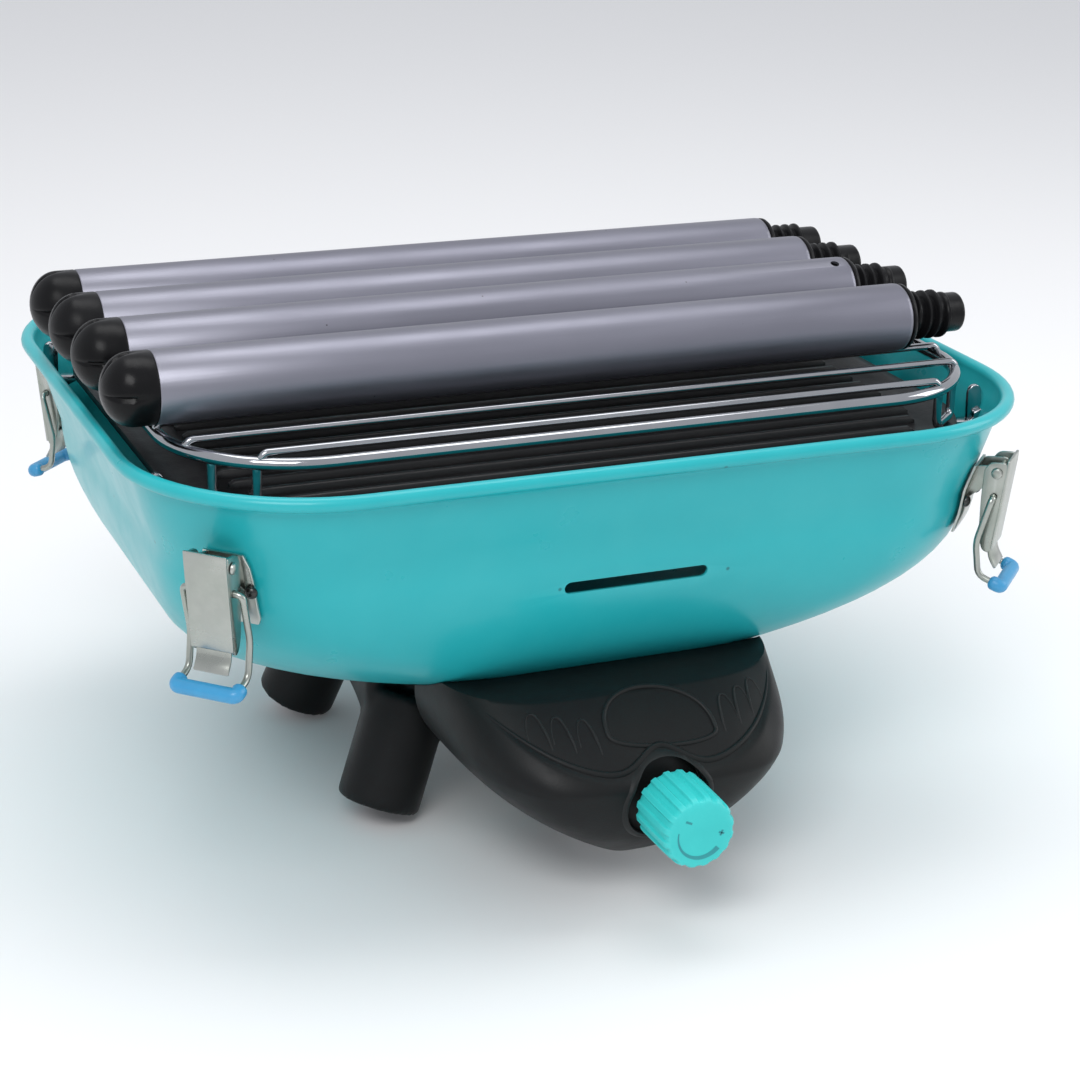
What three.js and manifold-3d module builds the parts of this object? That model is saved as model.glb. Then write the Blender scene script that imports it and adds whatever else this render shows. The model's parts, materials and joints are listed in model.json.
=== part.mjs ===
// Portable gas party grill, packed for carrying: a pressed bowl on a moulded chassis with four
// splayed leg sockets, a griddle and a wire rack in the bowl, four unscrewed legs lying on the
// rack, and a toggle latch with a wire bail on each corner.
// Millimetres. +X runs along the front, -Y is the front, +Z is up. The origin is the bottom
// centre of the bounding box, so the leg sockets' lowest edges stand on z = 0.

import * as THREE from 'three';
import { mergeVertices } from 'three/addons/utils/BufferGeometryUtils.js';
import Module from 'manifold-3d';

const wasm = await Module();
wasm.setup();

// ---- driving dimensions ----
const GAP = 0.3; // running gap between neighbouring pieces

const RIM_HEIGHT = 201; // rim plane above the ground
const RIM_HALF_X = 212.4;
const RIM_HALF_Y = 172.4;
const RIM_CORNER_R = 83.2;
const RIM_OUT = 3.3; // radius of the rolled bead, centred on the rim line
const RIM_BAND_OUT = 0.5; // the narrow band under the bead
const RIM_BAND_BOTTOM = -8;
const SHEET = 1.3; // thickness of the pressed bowl
const BOWL_DEPTH = 129.1;
const WALL_DRAFT = 0.301; // inset per mm of depth on the upper wall
const WALL_TOP_INSET = 2;
const WALL_STRAIGHT_DEPTH = 40.2;
const BOWL_CURVE = 86.4; // horizontal reach of the curve from wall to floor
const BOWL_OVAL = 0.869; // how close to an ellipse the plan is at the floor
const BOWL_OVAL_POWER = 3.5;
const BOWL_SEGMENTS = 36;
const BOWL_STEPS = 7;
const HOLE_SIDES = 10;

const SLOT_WIDTH = 69;
const SLOT_HEIGHT = 5.8;
const SLOT_Z = -56.5;

const TUBE_R = 16;
const TUBE_WALL = 1.2;
const TUBE_LEFT = -196.2;
const TUBE_RIGHT = 164.6;
const TUBE_Z = 30.3;
const TUBE_Y = [54.1, 11.9, -33.7, -87.6];
const CAP_TIP = -218.5;
const CAP_STRAIGHT = 9; // the cap's round side before its dome begins
const PIN_HOLE_R = 2.2; // a hole through one side of each tube near the plug
const PIN_HOLE_FROM_END = 8;
const PIN_HOLE_TURN = [200, 160, 21, 185]; // degrees from straight up, each leg lying as it fell
const PLUG_FLANGE = 3.2;
const PLUG_TIP = 197;
const THREAD_CORE_R = 9.4;
const THREAD_CREST_R = 11.4;
const THREAD_PITCH = 5.2;
const THREAD_TURNS = 4;

const RACK_HALF_X = 193;
const RACK_HALF_Y = 139.5;
const RACK_CORNER_R = 60;
const RACK_RING_R = 3;
const RACK_WIRE_R = 1.7;
const FOOT_WIRE_R = 2;
const RACK_PITCH = 26.4;
const RACK_WIRES_EACH_SIDE = 5;
const RACK_RING_Z = 6.9;
const RACK_WIRE_Z = 11.4;
const FOOT_ANGLE = 49; // where each bent foot sits round the rack's corner, from the X axis

const GRIDDLE_HALF_X = 192.5;
const GRIDDLE_HALF_Y = 153;
const GRIDDLE_CORNER_R = 70;
const GRIDDLE_TOP = -11;
const RIB_HEIGHT = 2.4;
const GRIDDLE_THICK = 5;
const RIB_PITCH = 14;

const KNOB_R = 17;
const KNOB_BACK_Y = -199;
const KNOB_FRONT_Y = -230;
const KNOB_Z = -146;
const KNOB_FLUTES = 16;
const STEM_R = 3;

const HOUSING_HALF_X = 82;
const HOUSING_BACK_Y = -98;
const HOUSING_CENTRE_Y = -76;
const HOUSING_REACH = 122; // forward from the centre line
const HOUSING_WALL = 3;
const HOUSING_SHOULDER_Z = -121; // full width above this height
const HOUSING_DROP = 74.8; // from the shoulder to where the two sides would meet
const HOUSING_LEAN_Z = -138; // above this height the face leans back to meet the bowl
const HOUSING_LEAN = 0.44; // share of the reach lost over HOUSING_LEAN_RISE
const HOUSING_LEAN_RISE = 42;

const SOCKET_X = 89;
const SOCKET_Y = 66;
const SOCKET_Z = -193.5;
const SOCKET_OUT_R = 20;
const SOCKET_BORE_R = 16.7;
const SOCKET_LENGTH = 52;
const SPLAY_X = 0.38;
const SPLAY_Y = 0.17;
const HUB_TOP = -129.9;
const HUB_THICK = 6;

const PIVOT_U = 1.8;
const PIVOT_Z = -26;
const BAIL_U = 1.2;
const BAIL_Z = -37.5;
const PIN_R = 1.5;
const BAIL_WIRE_R = 1.5;
const LEVER_HALF_WIDTH = 10;
const LATCH_SHEET = 1.4;
const LATCH_DROP = 2; // the latches are drawn this much above where they sit
const BAIL_HALF_WIDTH = 14;
const SLEEVE_R = 3.6;
const SLEEVE_LENGTH = 22;
const SLEEVE_U = 7.6; // the sleeve's place from the bail's pivot
const SLEEVE_DROP = 42;

// the bounding box runs from the knob's front face to the back of the rim, and from the tips of
// the leg caps to the right side of the rim
const CENTRE_X = (CAP_TIP + RIM_HALF_X + RIM_OUT) / 2;
const CENTRE_Y = (KNOB_FRONT_Y + RIM_HALF_Y + RIM_OUT) / 2;

// ---- materials ----
function material(color, roughness, metalness) {
  return new THREE.MeshStandardMaterial({ color, roughness, metalness });
}
const turquoise = () => material(0x3fbfca, 0.32, 0);
const blackPlastic = () => material(0x1d1f22, 0.55, 0);
const zinc = () => material(0x9aa09c, 0.38, 1);
const chrome = () => material(0xd5d8da, 0.15, 1);
const blueSleeve = () => material(0x3d9fdc, 0.4, 0);
const satinTube = () => material(0x94929f, 0.42, 1);
const griddleBlack = () => material(0x202123, 0.5, 0.2);
const brass = () => material(0xb08d4a, 0.35, 1);

// ---- helpers ----
const root = new THREE.Group();
const grill = new THREE.Group();
grill.position.set(-CENTRE_X, -CENTRE_Y, RIM_HEIGHT);
root.add(grill);

// keeps position only, joins shared vertices, drops empty triangles and turns faces outwards
function clean(source) {
  let geometry = source.clone();
  geometry.deleteAttribute('normal');
  geometry.deleteAttribute('uv');
  geometry.clearGroups();
  geometry = mergeVertices(geometry, 1e-4);
  const p = geometry.attributes.position;
  const index = geometry.index.array;
  const kept = [];
  const a = new THREE.Vector3();
  const b = new THREE.Vector3();
  const c = new THREE.Vector3();
  let volume = 0;
  for (let i = 0; i < index.length; i += 3) {
    const [i0, i1, i2] = [index[i], index[i + 1], index[i + 2]];
    if (i0 === i1 || i1 === i2 || i0 === i2) continue;
    kept.push(i0, i1, i2);
    a.fromBufferAttribute(p, i0);
    b.fromBufferAttribute(p, i1);
    c.fromBufferAttribute(p, i2);
    volume += a.dot(b.cross(c));
  }
  if (volume < 0) kept.reverse();
  geometry.setIndex(kept);
  return geometry;
}

function solid(source) {
  const geometry = clean(source);
  const vertProperties = new Float32Array(geometry.attributes.position.array);
  const triVerts = new Uint32Array(geometry.index.array);
  return new wasm.Manifold(new wasm.Mesh({ numProp: 3, vertProperties, triVerts }));
}

function geometryOf(body) {
  const mesh = body.getMesh();
  const geometry = new THREE.BufferGeometry();
  geometry.setAttribute('position', new THREE.BufferAttribute(mesh.vertProperties, 3));
  geometry.setIndex(new THREE.BufferAttribute(mesh.triVerts, 1));
  geometry.computeVertexNormals();
  return geometry;
}

function join(geometries) {
  return geometries.map(solid).reduce((all, next) => all.add(next));
}

function put(name, geometry, look, parent = grill) {
  const mesh = new THREE.Mesh(clean(geometry), look);
  mesh.geometry.computeVertexNormals();
  mesh.name = name;
  parent.add(mesh);
  return mesh;
}

// a turned shape about Z from [radius, z] pairs
function turned(profile, segments) {
  const points = profile.map(([r, z]) => new THREE.Vector2(r, z));
  return new THREE.LatheGeometry(points, segments).rotateX(Math.PI / 2);
}

// a turned shape whose plan is a rounded rectangle drawn towards an oval by ovalAt; profile rows
// are [inset, z], or ['axis', z]
function tray(profile, halfX, halfY, radiusAt, segments, ovalAt = () => 0) {
  const points = profile.map(([inset, z]) => new THREE.Vector2(inset === 'axis' ? 0 : 1, z));
  const geometry = new THREE.LatheGeometry(points, segments, Math.PI / segments);
  geometry.rotateX(Math.PI / 2);
  const p = geometry.attributes.position;
  for (let i = 0; i < p.count; i += 1) {
    const [inset, z] = profile[i % profile.length];
    if (inset === 'axis') {
      p.setXYZ(i, 0, 0, z);
      continue;
    }
    const x = halfX - inset;
    const y = halfY - inset;
    const r = Math.min(radiusAt(inset), x - 1, y - 1);
    const cos = p.getX(i);
    const sin = p.getY(i);
    const oval = ovalAt(inset);
    const squareX = Math.sign(cos) * (x - r) + r * cos;
    const squareY = Math.sign(sin) * (y - r) + r * sin;
    p.setXYZ(i, squareX + oval * (x * cos - squareX), squareY + oval * (y * sin - squareY), z);
  }
  return geometry;
}

function rod(from, to, radius, segments = 8) {
  const start = new THREE.Vector3(...from);
  const end = new THREE.Vector3(...to);
  const geometry = new THREE.CylinderGeometry(radius, radius, start.distanceTo(end), segments);
  const along = end.clone().sub(start).normalize();
  const turn = new THREE.Quaternion().setFromUnitVectors(new THREE.Vector3(0, 1, 0), along);
  geometry.applyQuaternion(turn);
  const middle = start.add(end).multiplyScalar(0.5);
  return geometry.translate(middle.x, middle.y, middle.z);
}

// a wire bent along straight runs with rounded corners
function bentRod(points, radius, bend, steps, sides = 6) {
  const corners = points.map((p) => new THREE.Vector3(...p));
  const path = new THREE.CurvePath();
  let from = corners[0];
  for (let i = 1; i + 1 < corners.length; i += 1) {
    const toward = (other) => other.clone().sub(corners[i]).setLength(bend).add(corners[i]);
    const enter = toward(corners[i - 1]);
    const leave = toward(corners[i + 1]);
    path.add(new THREE.LineCurve3(from, enter));
    path.add(new THREE.QuadraticBezierCurve3(enter, corners[i], leave));
    from = leave;
  }
  path.add(new THREE.LineCurve3(from, corners[corners.length - 1]));
  const section = new THREE.Shape();
  for (let i = 0; i < sides; i += 1) {
    const a = (Math.PI * 2 * i) / sides;
    const method = i === 0 ? 'moveTo' : 'lineTo';
    section[method](radius * Math.cos(a), radius * Math.sin(a));
  }
  return new THREE.ExtrudeGeometry(section, { steps, bevelEnabled: false, extrudePath: path });
}

// a plate cut to an outline in the x-z plane, centred on y
function sidePlate(outline, thickness, y = 0) {
  const shape = new THREE.Shape(outline.map(([x, z]) => new THREE.Vector2(x, z)));
  const geometry = new THREE.ExtrudeGeometry(shape, { depth: thickness, bevelEnabled: false });
  return geometry.translate(0, 0, -thickness / 2).rotateX(Math.PI / 2).translate(0, y, 0);
}

// a hole drilled along y through everything near the middle
function crossHole(x, z, radius) {
  return solid(rod([x, -20, z], [x, 20, z], radius, HOLE_SIDES));
}

function roundedRectangle(halfX, halfY, r) {
  const shape = new THREE.Shape();
  shape.absarc(halfX - r, halfY - r, r, 0, Math.PI / 2, false);
  shape.absarc(-halfX + r, halfY - r, r, Math.PI / 2, Math.PI, false);
  shape.absarc(-halfX + r, -halfY + r, r, Math.PI, Math.PI * 1.5, false);
  shape.absarc(halfX - r, -halfY + r, r, Math.PI * 1.5, Math.PI * 2, false);
  return shape;
}

const CORNERS = [
  ['fl', -1, -1],
  ['fr', 1, -1],
  ['bl', -1, 1],
  ['br', 1, 1],
];

// ---- bowl ----
const WALL_INSET = WALL_TOP_INSET + WALL_DRAFT * WALL_STRAIGHT_DEPTH;

// inset of the bowl's outside at a depth below the rim plane
function wallInset(depth) {
  if (depth < WALL_STRAIGHT_DEPTH) return WALL_TOP_INSET + WALL_DRAFT * depth;
  const drop = (depth - WALL_STRAIGHT_DEPTH) / (BOWL_DEPTH - WALL_STRAIGHT_DEPTH);
  return WALL_INSET + BOWL_CURVE * (1 - Math.sqrt(Math.max(0, 1 - drop * drop)));
}

// the corner radius shrinks with the inset on the upper wall, then opens out again
function cornerRadius(inset) {
  if (inset < WALL_INSET) return RIM_CORNER_R - inset;
  return RIM_CORNER_R - WALL_INSET + (inset - WALL_INSET);
}

// the plan turns from a rounded rectangle into nearly an ellipse towards the floor
function ovalShare(inset) {
  const run = THREE.MathUtils.clamp((inset - WALL_INSET) / BOWL_CURVE, 0, 1);
  return BOWL_OVAL * Math.sqrt(1 - (1 - run) ** 2) ** BOWL_OVAL_POWER;
}

function bowlOutside(grow, steps) {
  const rows = [['axis', -BOWL_DEPTH - grow]];
  for (let i = 0; i <= steps; i += 1) {
    const a = (Math.PI / 2) * (1 - i / steps);
    const inset = WALL_INSET + BOWL_CURVE * (1 - Math.cos(a));
    const z = -WALL_STRAIGHT_DEPTH - (BOWL_DEPTH - WALL_STRAIGHT_DEPTH) * Math.sin(a);
    rows.push([inset - grow, z - grow * Math.sin(a)]);
  }
  return rows;
}

const outside = bowlOutside(0, BOWL_STEPS);
const inside = bowlOutside(-SHEET, BOWL_STEPS).reverse();
const rim = [
  [wallInset(-RIM_BAND_BOTTOM + 1.5), RIM_BAND_BOTTOM - 1.5],
  [-RIM_BAND_OUT, RIM_BAND_BOTTOM],
  [-RIM_BAND_OUT, -3.4],
];
for (let degrees = -60; degrees <= 180; degrees += 40) {
  const a = THREE.MathUtils.degToRad(degrees);
  rim.push([-RIM_OUT * Math.cos(a), RIM_OUT * Math.sin(a)]);
}
rim.push([wallInset(8) + SHEET, -8]);
const bowlRows = [...outside, ...rim, ...inside];
let bowl = solid(tray(bowlRows, RIM_HALF_X, RIM_HALF_Y, cornerRadius, BOWL_SEGMENTS, ovalShare));
const slot = new THREE.BoxGeometry(SLOT_WIDTH, 40, SLOT_HEIGHT);
bowl = bowl.subtract(solid(slot.translate(0, -RIM_HALF_Y, SLOT_Z)));
const gasHole = new THREE.CylinderGeometry(6, 6, 20, 16).rotateX(Math.PI / 2);
bowl = bowl.subtract(solid(gasHole.translate(0, 0, -BOWL_DEPTH)));

// the bolts that hold the chassis under the bowl
const BOLT_X = 18;
const BOLT_Y = 36;
const BOLT_R = 2.5;
function boltHole(sx, sy) {
  const hole = new THREE.CylinderGeometry(BOLT_R + GAP, BOLT_R + GAP, 40, 10).rotateX(Math.PI / 2);
  return solid(hole.translate(sx * BOLT_X, sy * BOLT_Y, -BOWL_DEPTH));
}
for (const [, sx, sy] of CORNERS) bowl = bowl.subtract(boltHole(sx, sy));
put('bowl', geometryOf(bowl), turquoise());

for (const [corner, sx, sy] of CORNERS) {
  const rows = [
    [0, -HUB_THICK - 4.5],
    [5, -HUB_THICK - 4.5],
    [5, -HUB_THICK - GAP],
    [BOLT_R, -HUB_THICK - GAP],
    [BOLT_R, 6],
    [0, 6],
  ];
  const bolt = turned(rows, 10).translate(sx * BOLT_X, sy * BOLT_Y, HUB_TOP);
  put(`chassis_bolt_${corner}`, bolt, zinc());
}

// ---- chassis: a hub under the bowl, four arms and four splayed leg sockets ----
const splay = new THREE.Vector3(SPLAY_X, SPLAY_Y, -1).normalize();

function socketFrame(sx, sy) {
  const along = new THREE.Vector3(sx * splay.x, sy * splay.y, splay.z);
  const mouth = new THREE.Vector3(sx * SOCKET_X, sy * SOCKET_Y, SOCKET_Z);
  return { along, mouth };
}

function along(frame, distance) {
  return frame.mouth.clone().addScaledVector(frame.along, distance).toArray();
}

const hubShape = roundedRectangle(62, 48, 20);
const hubPlate = new THREE.ExtrudeGeometry(hubShape, { depth: HUB_THICK, bevelEnabled: false, curveSegments: 4 });
let chassis = solid(hubPlate.translate(0, 0, HUB_TOP - HUB_THICK));
const bores = [];
for (const [, sx, sy] of CORNERS) {
  const frame = socketFrame(sx, sy);
  const barrel = rod(along(frame, -SOCKET_LENGTH), along(frame, 0), SOCKET_OUT_R, 20);
  const arm = new THREE.BoxGeometry(70, 24, 16).rotateZ(Math.atan2(sy * 34, sx * 58));
  arm.translate(sx * 54, sy * 36, HUB_TOP - 13);
  chassis = chassis.add(solid(barrel)).add(solid(arm));
  bores.push(rod(along(frame, -22), along(frame, 5), SOCKET_BORE_R, 20));
  bores.push(rod(along(frame, -44), along(frame, -10), THREAD_CREST_R + 0.6, 12));
}
// a web under each side of the bowl joins the two barrels of that side, arched between them
const arch = [[0, 146], [18, 147], [34, 150], [44, 157], [50, 168], [62, 168], [62, 120]];
const webOutline = [...arch.map(([y, z]) => [-y, -z]).reverse(), ...arch.slice(1).map(([y, z]) => [y, -z])];
for (const side of [-1, 1]) {
  const web = sidePlate(webOutline, 24).rotateZ(Math.PI / 2).translate(side * 80, 0, 0);
  chassis = chassis.add(solid(web));
}
const bowlSpace = tray(
  [...bowlOutside(GAP, BOWL_STEPS), [-20, 0], ['axis', 0]],
  RIM_HALF_X,
  RIM_HALF_Y,
  cornerRadius,
  BOWL_SEGMENTS,
  ovalShare,
);
chassis = chassis.subtract(solid(bowlSpace));
for (const bore of bores) chassis = chassis.subtract(solid(bore));
chassis = chassis.subtract(solid(gasHole.clone()));
for (const [, sx, sy] of CORNERS) chassis = chassis.subtract(boltHole(sx, sy));
put('chassis', geometryOf(chassis), blackPlastic());

// ---- control housing: a ladle-shaped shell bulging out under the front of the bowl ----
// its plan is a squarish oval that narrows downwards, and its face leans back above the knob
const HOUSING_HEIGHTS = [-107, -112, -118, -124, -131, -138, -146, -155, -164, -172, -180, -186, -190];
function housingForm(inset) {
  const top = HOUSING_HEIGHTS[0];
  const bottom = HOUSING_HEIGHTS[HOUSING_HEIGHTS.length - 1];
  const points = [top, ...HOUSING_HEIGHTS, bottom].map((z) => new THREE.Vector2(1, z));
  points[0].x = 0;
  points[points.length - 1].x = 0;
  const form = new THREE.LatheGeometry(points, 40).rotateX(Math.PI / 2);
  const p = form.attributes.position;
  for (let i = 0; i < p.count; i += 1) {
    const row = i % points.length;
    const z = THREE.MathUtils.clamp(points[row].y, bottom + inset, top - inset);
    const drop = Math.max(0, (HOUSING_SHOULDER_Z - z) / HOUSING_DROP);
    const narrowing = (1 - drop ** 2.1) ** 1.25;
    const lean = Math.max(0, (z - HOUSING_LEAN_Z) / HOUSING_LEAN_RISE);
    const halfX = HOUSING_HALF_X * narrowing - inset;
    const reach = HOUSING_REACH * narrowing ** 0.2 * (1 - HOUSING_LEAN * lean ** 1.3) - inset;
    const middle = row === 0 || row === points.length - 1;
    const cos = middle ? 0 : p.getX(i);
    const sin = middle ? 0 : p.getY(i);
    const x = halfX * Math.sign(cos) * Math.sqrt(Math.abs(cos));
    const y = reach * Math.sign(sin) * Math.sqrt(Math.abs(sin));
    p.setXYZ(i, x, HOUSING_CENTRE_Y + y, z);
  }
  return solid(form);
}
const behind = new THREE.BoxGeometry(400, 200, 400).translate(0, HOUSING_BACK_Y + 100, -150);
const stemHole = rod([0, KNOB_BACK_Y - 10, KNOB_Z], [0, -170, KNOB_Z], STEM_R + 1.5, 16);
const housing = housingForm(0)
  .subtract(solid(bowlSpace))
  .subtract(solid(behind))
  .subtract(housingForm(HOUSING_WALL))
  .subtract(solid(stemHole));
put('control_housing', geometryOf(housing), blackPlastic());

const valve = rod([0, -150, KNOB_Z], [0, -184, KNOB_Z], 9, 16);
put('valve_body', valve, brass());
const gasTube = bentRod([[0, -149.5, KNOB_Z - 4], [0, 0, KNOB_Z - 4], [0, 0, -112.4]], 4, 12, 36, 8);
put('gas_tube', gasTube, brass());
put('burner_base', turned([[0, -112], [26, -112], [44, -102], [44, -98], [0, -98]], 24), zinc());
put('burner_cap', turned([[0, -97.6], [42, -97.6], [40, -93], [0, -90]], 24), griddleBlack());

// ---- knob and its stem ----
function knobOutline(r) {
  const shape = new THREE.Shape();
  const steps = KNOB_FLUTES * 4;
  for (let i = 0; i < steps; i += 1) {
    const a = (Math.PI * 2 * i) / steps;
    const depth = i % 4 === 0 ? 1.3 : 0;
    const method = i === 0 ? 'moveTo' : 'lineTo';
    shape[method]((r - depth) * Math.cos(a), (r - depth) * Math.sin(a));
  }
  return shape;
}
const knobLength = KNOB_BACK_Y - KNOB_FRONT_Y;
const knobBody = new THREE.ExtrudeGeometry(knobOutline(KNOB_R), { depth: knobLength, bevelEnabled: false });
knobBody.rotateX(Math.PI / 2).translate(0, KNOB_BACK_Y, KNOB_Z);
const knobBore = rod([0, KNOB_BACK_Y + 5, KNOB_Z], [0, KNOB_FRONT_Y + 8, KNOB_Z], STEM_R + GAP, 12);
put('knob', geometryOf(solid(knobBody).subtract(solid(knobBore))), turquoise());
put('valve_stem', rod([0, -184.4, KNOB_Z], [0, KNOB_FRONT_Y + 8.4, KNOB_Z], STEM_R, 12), brass());

// ---- griddle ----
const griddleShape = roundedRectangle(GRIDDLE_HALF_X, GRIDDLE_HALF_Y, GRIDDLE_CORNER_R);
const griddlePlate = new THREE.ExtrudeGeometry(griddleShape, {
  depth: GRIDDLE_THICK,
  bevelEnabled: false,
  curveSegments: 8,
});
griddlePlate.translate(0, 0, GRIDDLE_TOP - RIB_HEIGHT - GRIDDLE_THICK);
let griddle = solid(griddlePlate);
const ribCount = Math.floor((GRIDDLE_HALF_Y - 12) / RIB_PITCH);
for (let i = -ribCount; i <= ribCount; i += 1) {
  const y = i * RIB_PITCH;
  const over = Math.max(0, Math.abs(y) - (GRIDDLE_HALF_Y - GRIDDLE_CORNER_R));
  const reach = Math.sqrt(GRIDDLE_CORNER_R ** 2 - over ** 2);
  const halfLength = GRIDDLE_HALF_X - GRIDDLE_CORNER_R + reach - 24;
  const rib = new THREE.BoxGeometry(halfLength * 2, 4, RIB_HEIGHT + 1);
  griddle = griddle.add(solid(rib.translate(0, y, GRIDDLE_TOP - (RIB_HEIGHT + 1) / 2)));
}
put('griddle', geometryOf(griddle), griddleBlack());

// ---- griddle supports: lugs on the side walls with a ledge under the griddle ----
const LUG_TURN = THREE.MathUtils.degToRad(12); // where a lug sits round the bowl's corner
const TAB_X = 203;
const griddleUnder = GRIDDLE_TOP - RIB_HEIGHT - GRIDDLE_THICK;
for (const [corner, sx, sy] of CORNERS) {
  const wall = (z) => RIM_HALF_X - wallInset(-z) - SHEET - 0.9;
  const ledge = griddleUnder - GAP;
  const outline = [
    [wall(ledge - 8), ledge - 8],
    [wall(ledge - 8) - 12, ledge - 1.6],
    [wall(ledge - 8) - 12, ledge],
    [TAB_X - 1.8, ledge],
    [TAB_X - 1.8, -4],
    [TAB_X - 1, -2],
    [TAB_X + 1, -2],
    [TAB_X + 1.8, -4],
    [TAB_X + 1.8, -11],
    [wall(ledge), ledge],
  ];
  const centreX = RIM_HALF_X - RIM_CORNER_R;
  const centreY = RIM_HALF_Y - RIM_CORNER_R;
  const lug = sidePlate(outline, 8).translate(-centreX, 0, 0);
  lug.rotateZ(Math.atan2(sy * Math.sin(LUG_TURN), sx * Math.cos(LUG_TURN)));
  put(`griddle_support_${corner}`, lug.translate(sx * centreX, sy * centreY, 0), chrome());
}

// ---- rack: cross wires welded on a ring with four bent feet ----
const ringProfile = [];
for (let i = 0; i <= 8; i += 1) {
  const a = (Math.PI * 2 * i) / 8;
  ringProfile.push([RACK_RING_R * Math.cos(a), RACK_RING_Z + RACK_RING_R * Math.sin(a)]);
}
const ring = tray(ringProfile, RACK_HALF_X, RACK_HALF_Y, (inset) => RACK_CORNER_R - inset, 28);
let rack = solid(ring);
for (let i = -RACK_WIRES_EACH_SIDE; i <= RACK_WIRES_EACH_SIDE; i += 1) {
  const y = i * RACK_PITCH;
  const over = Math.max(0, Math.abs(y) - (RACK_HALF_Y - RACK_CORNER_R));
  const reach = RACK_HALF_X - RACK_CORNER_R + Math.sqrt(RACK_CORNER_R ** 2 - over ** 2) - 0.5;
  rack = rack.add(solid(rod([-reach, y, RACK_WIRE_Z], [reach, y, RACK_WIRE_Z], RACK_WIRE_R, 6)));
}
for (const [, sx, sy] of CORNERS) {
  const foot = [];
  for (const [turn, z] of [[-10, RACK_RING_Z], [-10, 0], [10, 0], [10, RACK_RING_Z]]) {
    const a = THREE.MathUtils.degToRad(FOOT_ANGLE + turn);
    const x = RACK_HALF_X - RACK_CORNER_R + RACK_CORNER_R * Math.cos(a);
    const y = RACK_HALF_Y - RACK_CORNER_R + RACK_CORNER_R * Math.sin(a);
    const height = z === 0 ? GRIDDLE_TOP - RIB_HEIGHT + FOOT_WIRE_R + GAP : z;
    foot.push([sx * x, sy * y, height]);
  }
  rack = rack.add(solid(bentRod(foot, FOOT_WIRE_R, 3, 12)));
}
put('rack', geometryOf(rack), chrome());

// ---- four loose legs lying on the rack ----
TUBE_Y.forEach((y, i) => {
  const leg = new THREE.Group();
  leg.position.set(0, y, TUBE_Z);
  leg.rotation.y = Math.PI / 2;
  grill.add(leg);
  const inner = TUBE_R - TUBE_WALL;
  const tube = [
    [inner, TUBE_LEFT],
    [TUBE_R, TUBE_LEFT],
    [TUBE_R, TUBE_RIGHT],
    [inner, TUBE_RIGHT],
    [inner, TUBE_LEFT],
  ];
  const pinHole = rod([TUBE_R - 4, 0, 0], [TUBE_R + 4, 0, 0], PIN_HOLE_R, 10);
  pinHole.rotateZ(Math.PI + THREE.MathUtils.degToRad(PIN_HOLE_TURN[i]));
  pinHole.translate(0, 0, TUBE_RIGHT - PIN_HOLE_FROM_END);
  const pipe = solid(turned(tube, 20)).subtract(solid(pinHole));
  put(`leg_${i + 1}_tube`, geometryOf(pipe), satinTube(), leg);
  const dome = [[0, CAP_TIP]];
  for (let k = 1; k <= 4; k += 1) {
    const a = (Math.PI / 2) * (k / 4);
    const z = TUBE_LEFT - CAP_STRAIGHT - (TUBE_LEFT - CAP_STRAIGHT - CAP_TIP) * Math.cos(a);
    dome.push([TUBE_R * Math.sin(a), z]);
  }
  dome.push([TUBE_R, TUBE_LEFT - GAP]);
  dome.push([inner - GAP, TUBE_LEFT - GAP]);
  dome.push([inner - GAP, TUBE_LEFT + 14]);
  dome.push([0, TUBE_LEFT + 14]);
  put(`leg_${i + 1}_foot_cap`, turned(dome, 16), blackPlastic(), leg);
  const flangeEnd = TUBE_RIGHT + PLUG_FLANGE;
  const plug = [
    [0, TUBE_RIGHT - 14],
    [inner - GAP, TUBE_RIGHT - 14],
    [inner - GAP, TUBE_RIGHT + GAP],
    [TUBE_R - 0.3, TUBE_RIGHT + GAP],
    [TUBE_R - 1.5, flangeEnd],
    [THREAD_CORE_R, flangeEnd],
  ];
  for (let k = 0; k < THREAD_TURNS; k += 1) {
    plug.push([THREAD_CREST_R, flangeEnd + 2.2 + THREAD_PITCH * k]);
    plug.push([THREAD_CREST_R, flangeEnd + 3.2 + THREAD_PITCH * k]);
    plug.push([THREAD_CORE_R, flangeEnd + THREAD_PITCH * (k + 1)]);
  }
  plug.push([THREAD_CORE_R - 0.6, PLUG_TIP - 1.5]);
  plug.push([THREAD_CORE_R - 2, PLUG_TIP]);
  plug.push([0, PLUG_TIP]);
  put(`leg_${i + 1}_plug`, turned(plug, 12), blackPlastic(), leg);
});

// ---- toggle latches: local x is radially out of the corner, y runs round it ----
// the bowl's outside at the corner, measured out from the rim line
function cornerWall(latchDepth) {
  const inset = wallInset(latchDepth + LATCH_DROP);
  const r = cornerRadius(inset);
  const centre = (RIM_HALF_X + RIM_HALF_Y - 2 * inset - 2 * r) * Math.SQRT1_2 + r;
  const rimCentre = (RIM_HALF_X + RIM_HALF_Y - 2 * RIM_CORNER_R) * Math.SQRT1_2 + RIM_CORNER_R;
  return centre - rimCentre;
}

const BASE_HALF_WIDTH = 13.5;
const BASE_TOP = 24;
const BASE_BOTTOM = 57;
const RIVET_T = 11.2;
const RIVET_DEPTH = 41;

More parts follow.
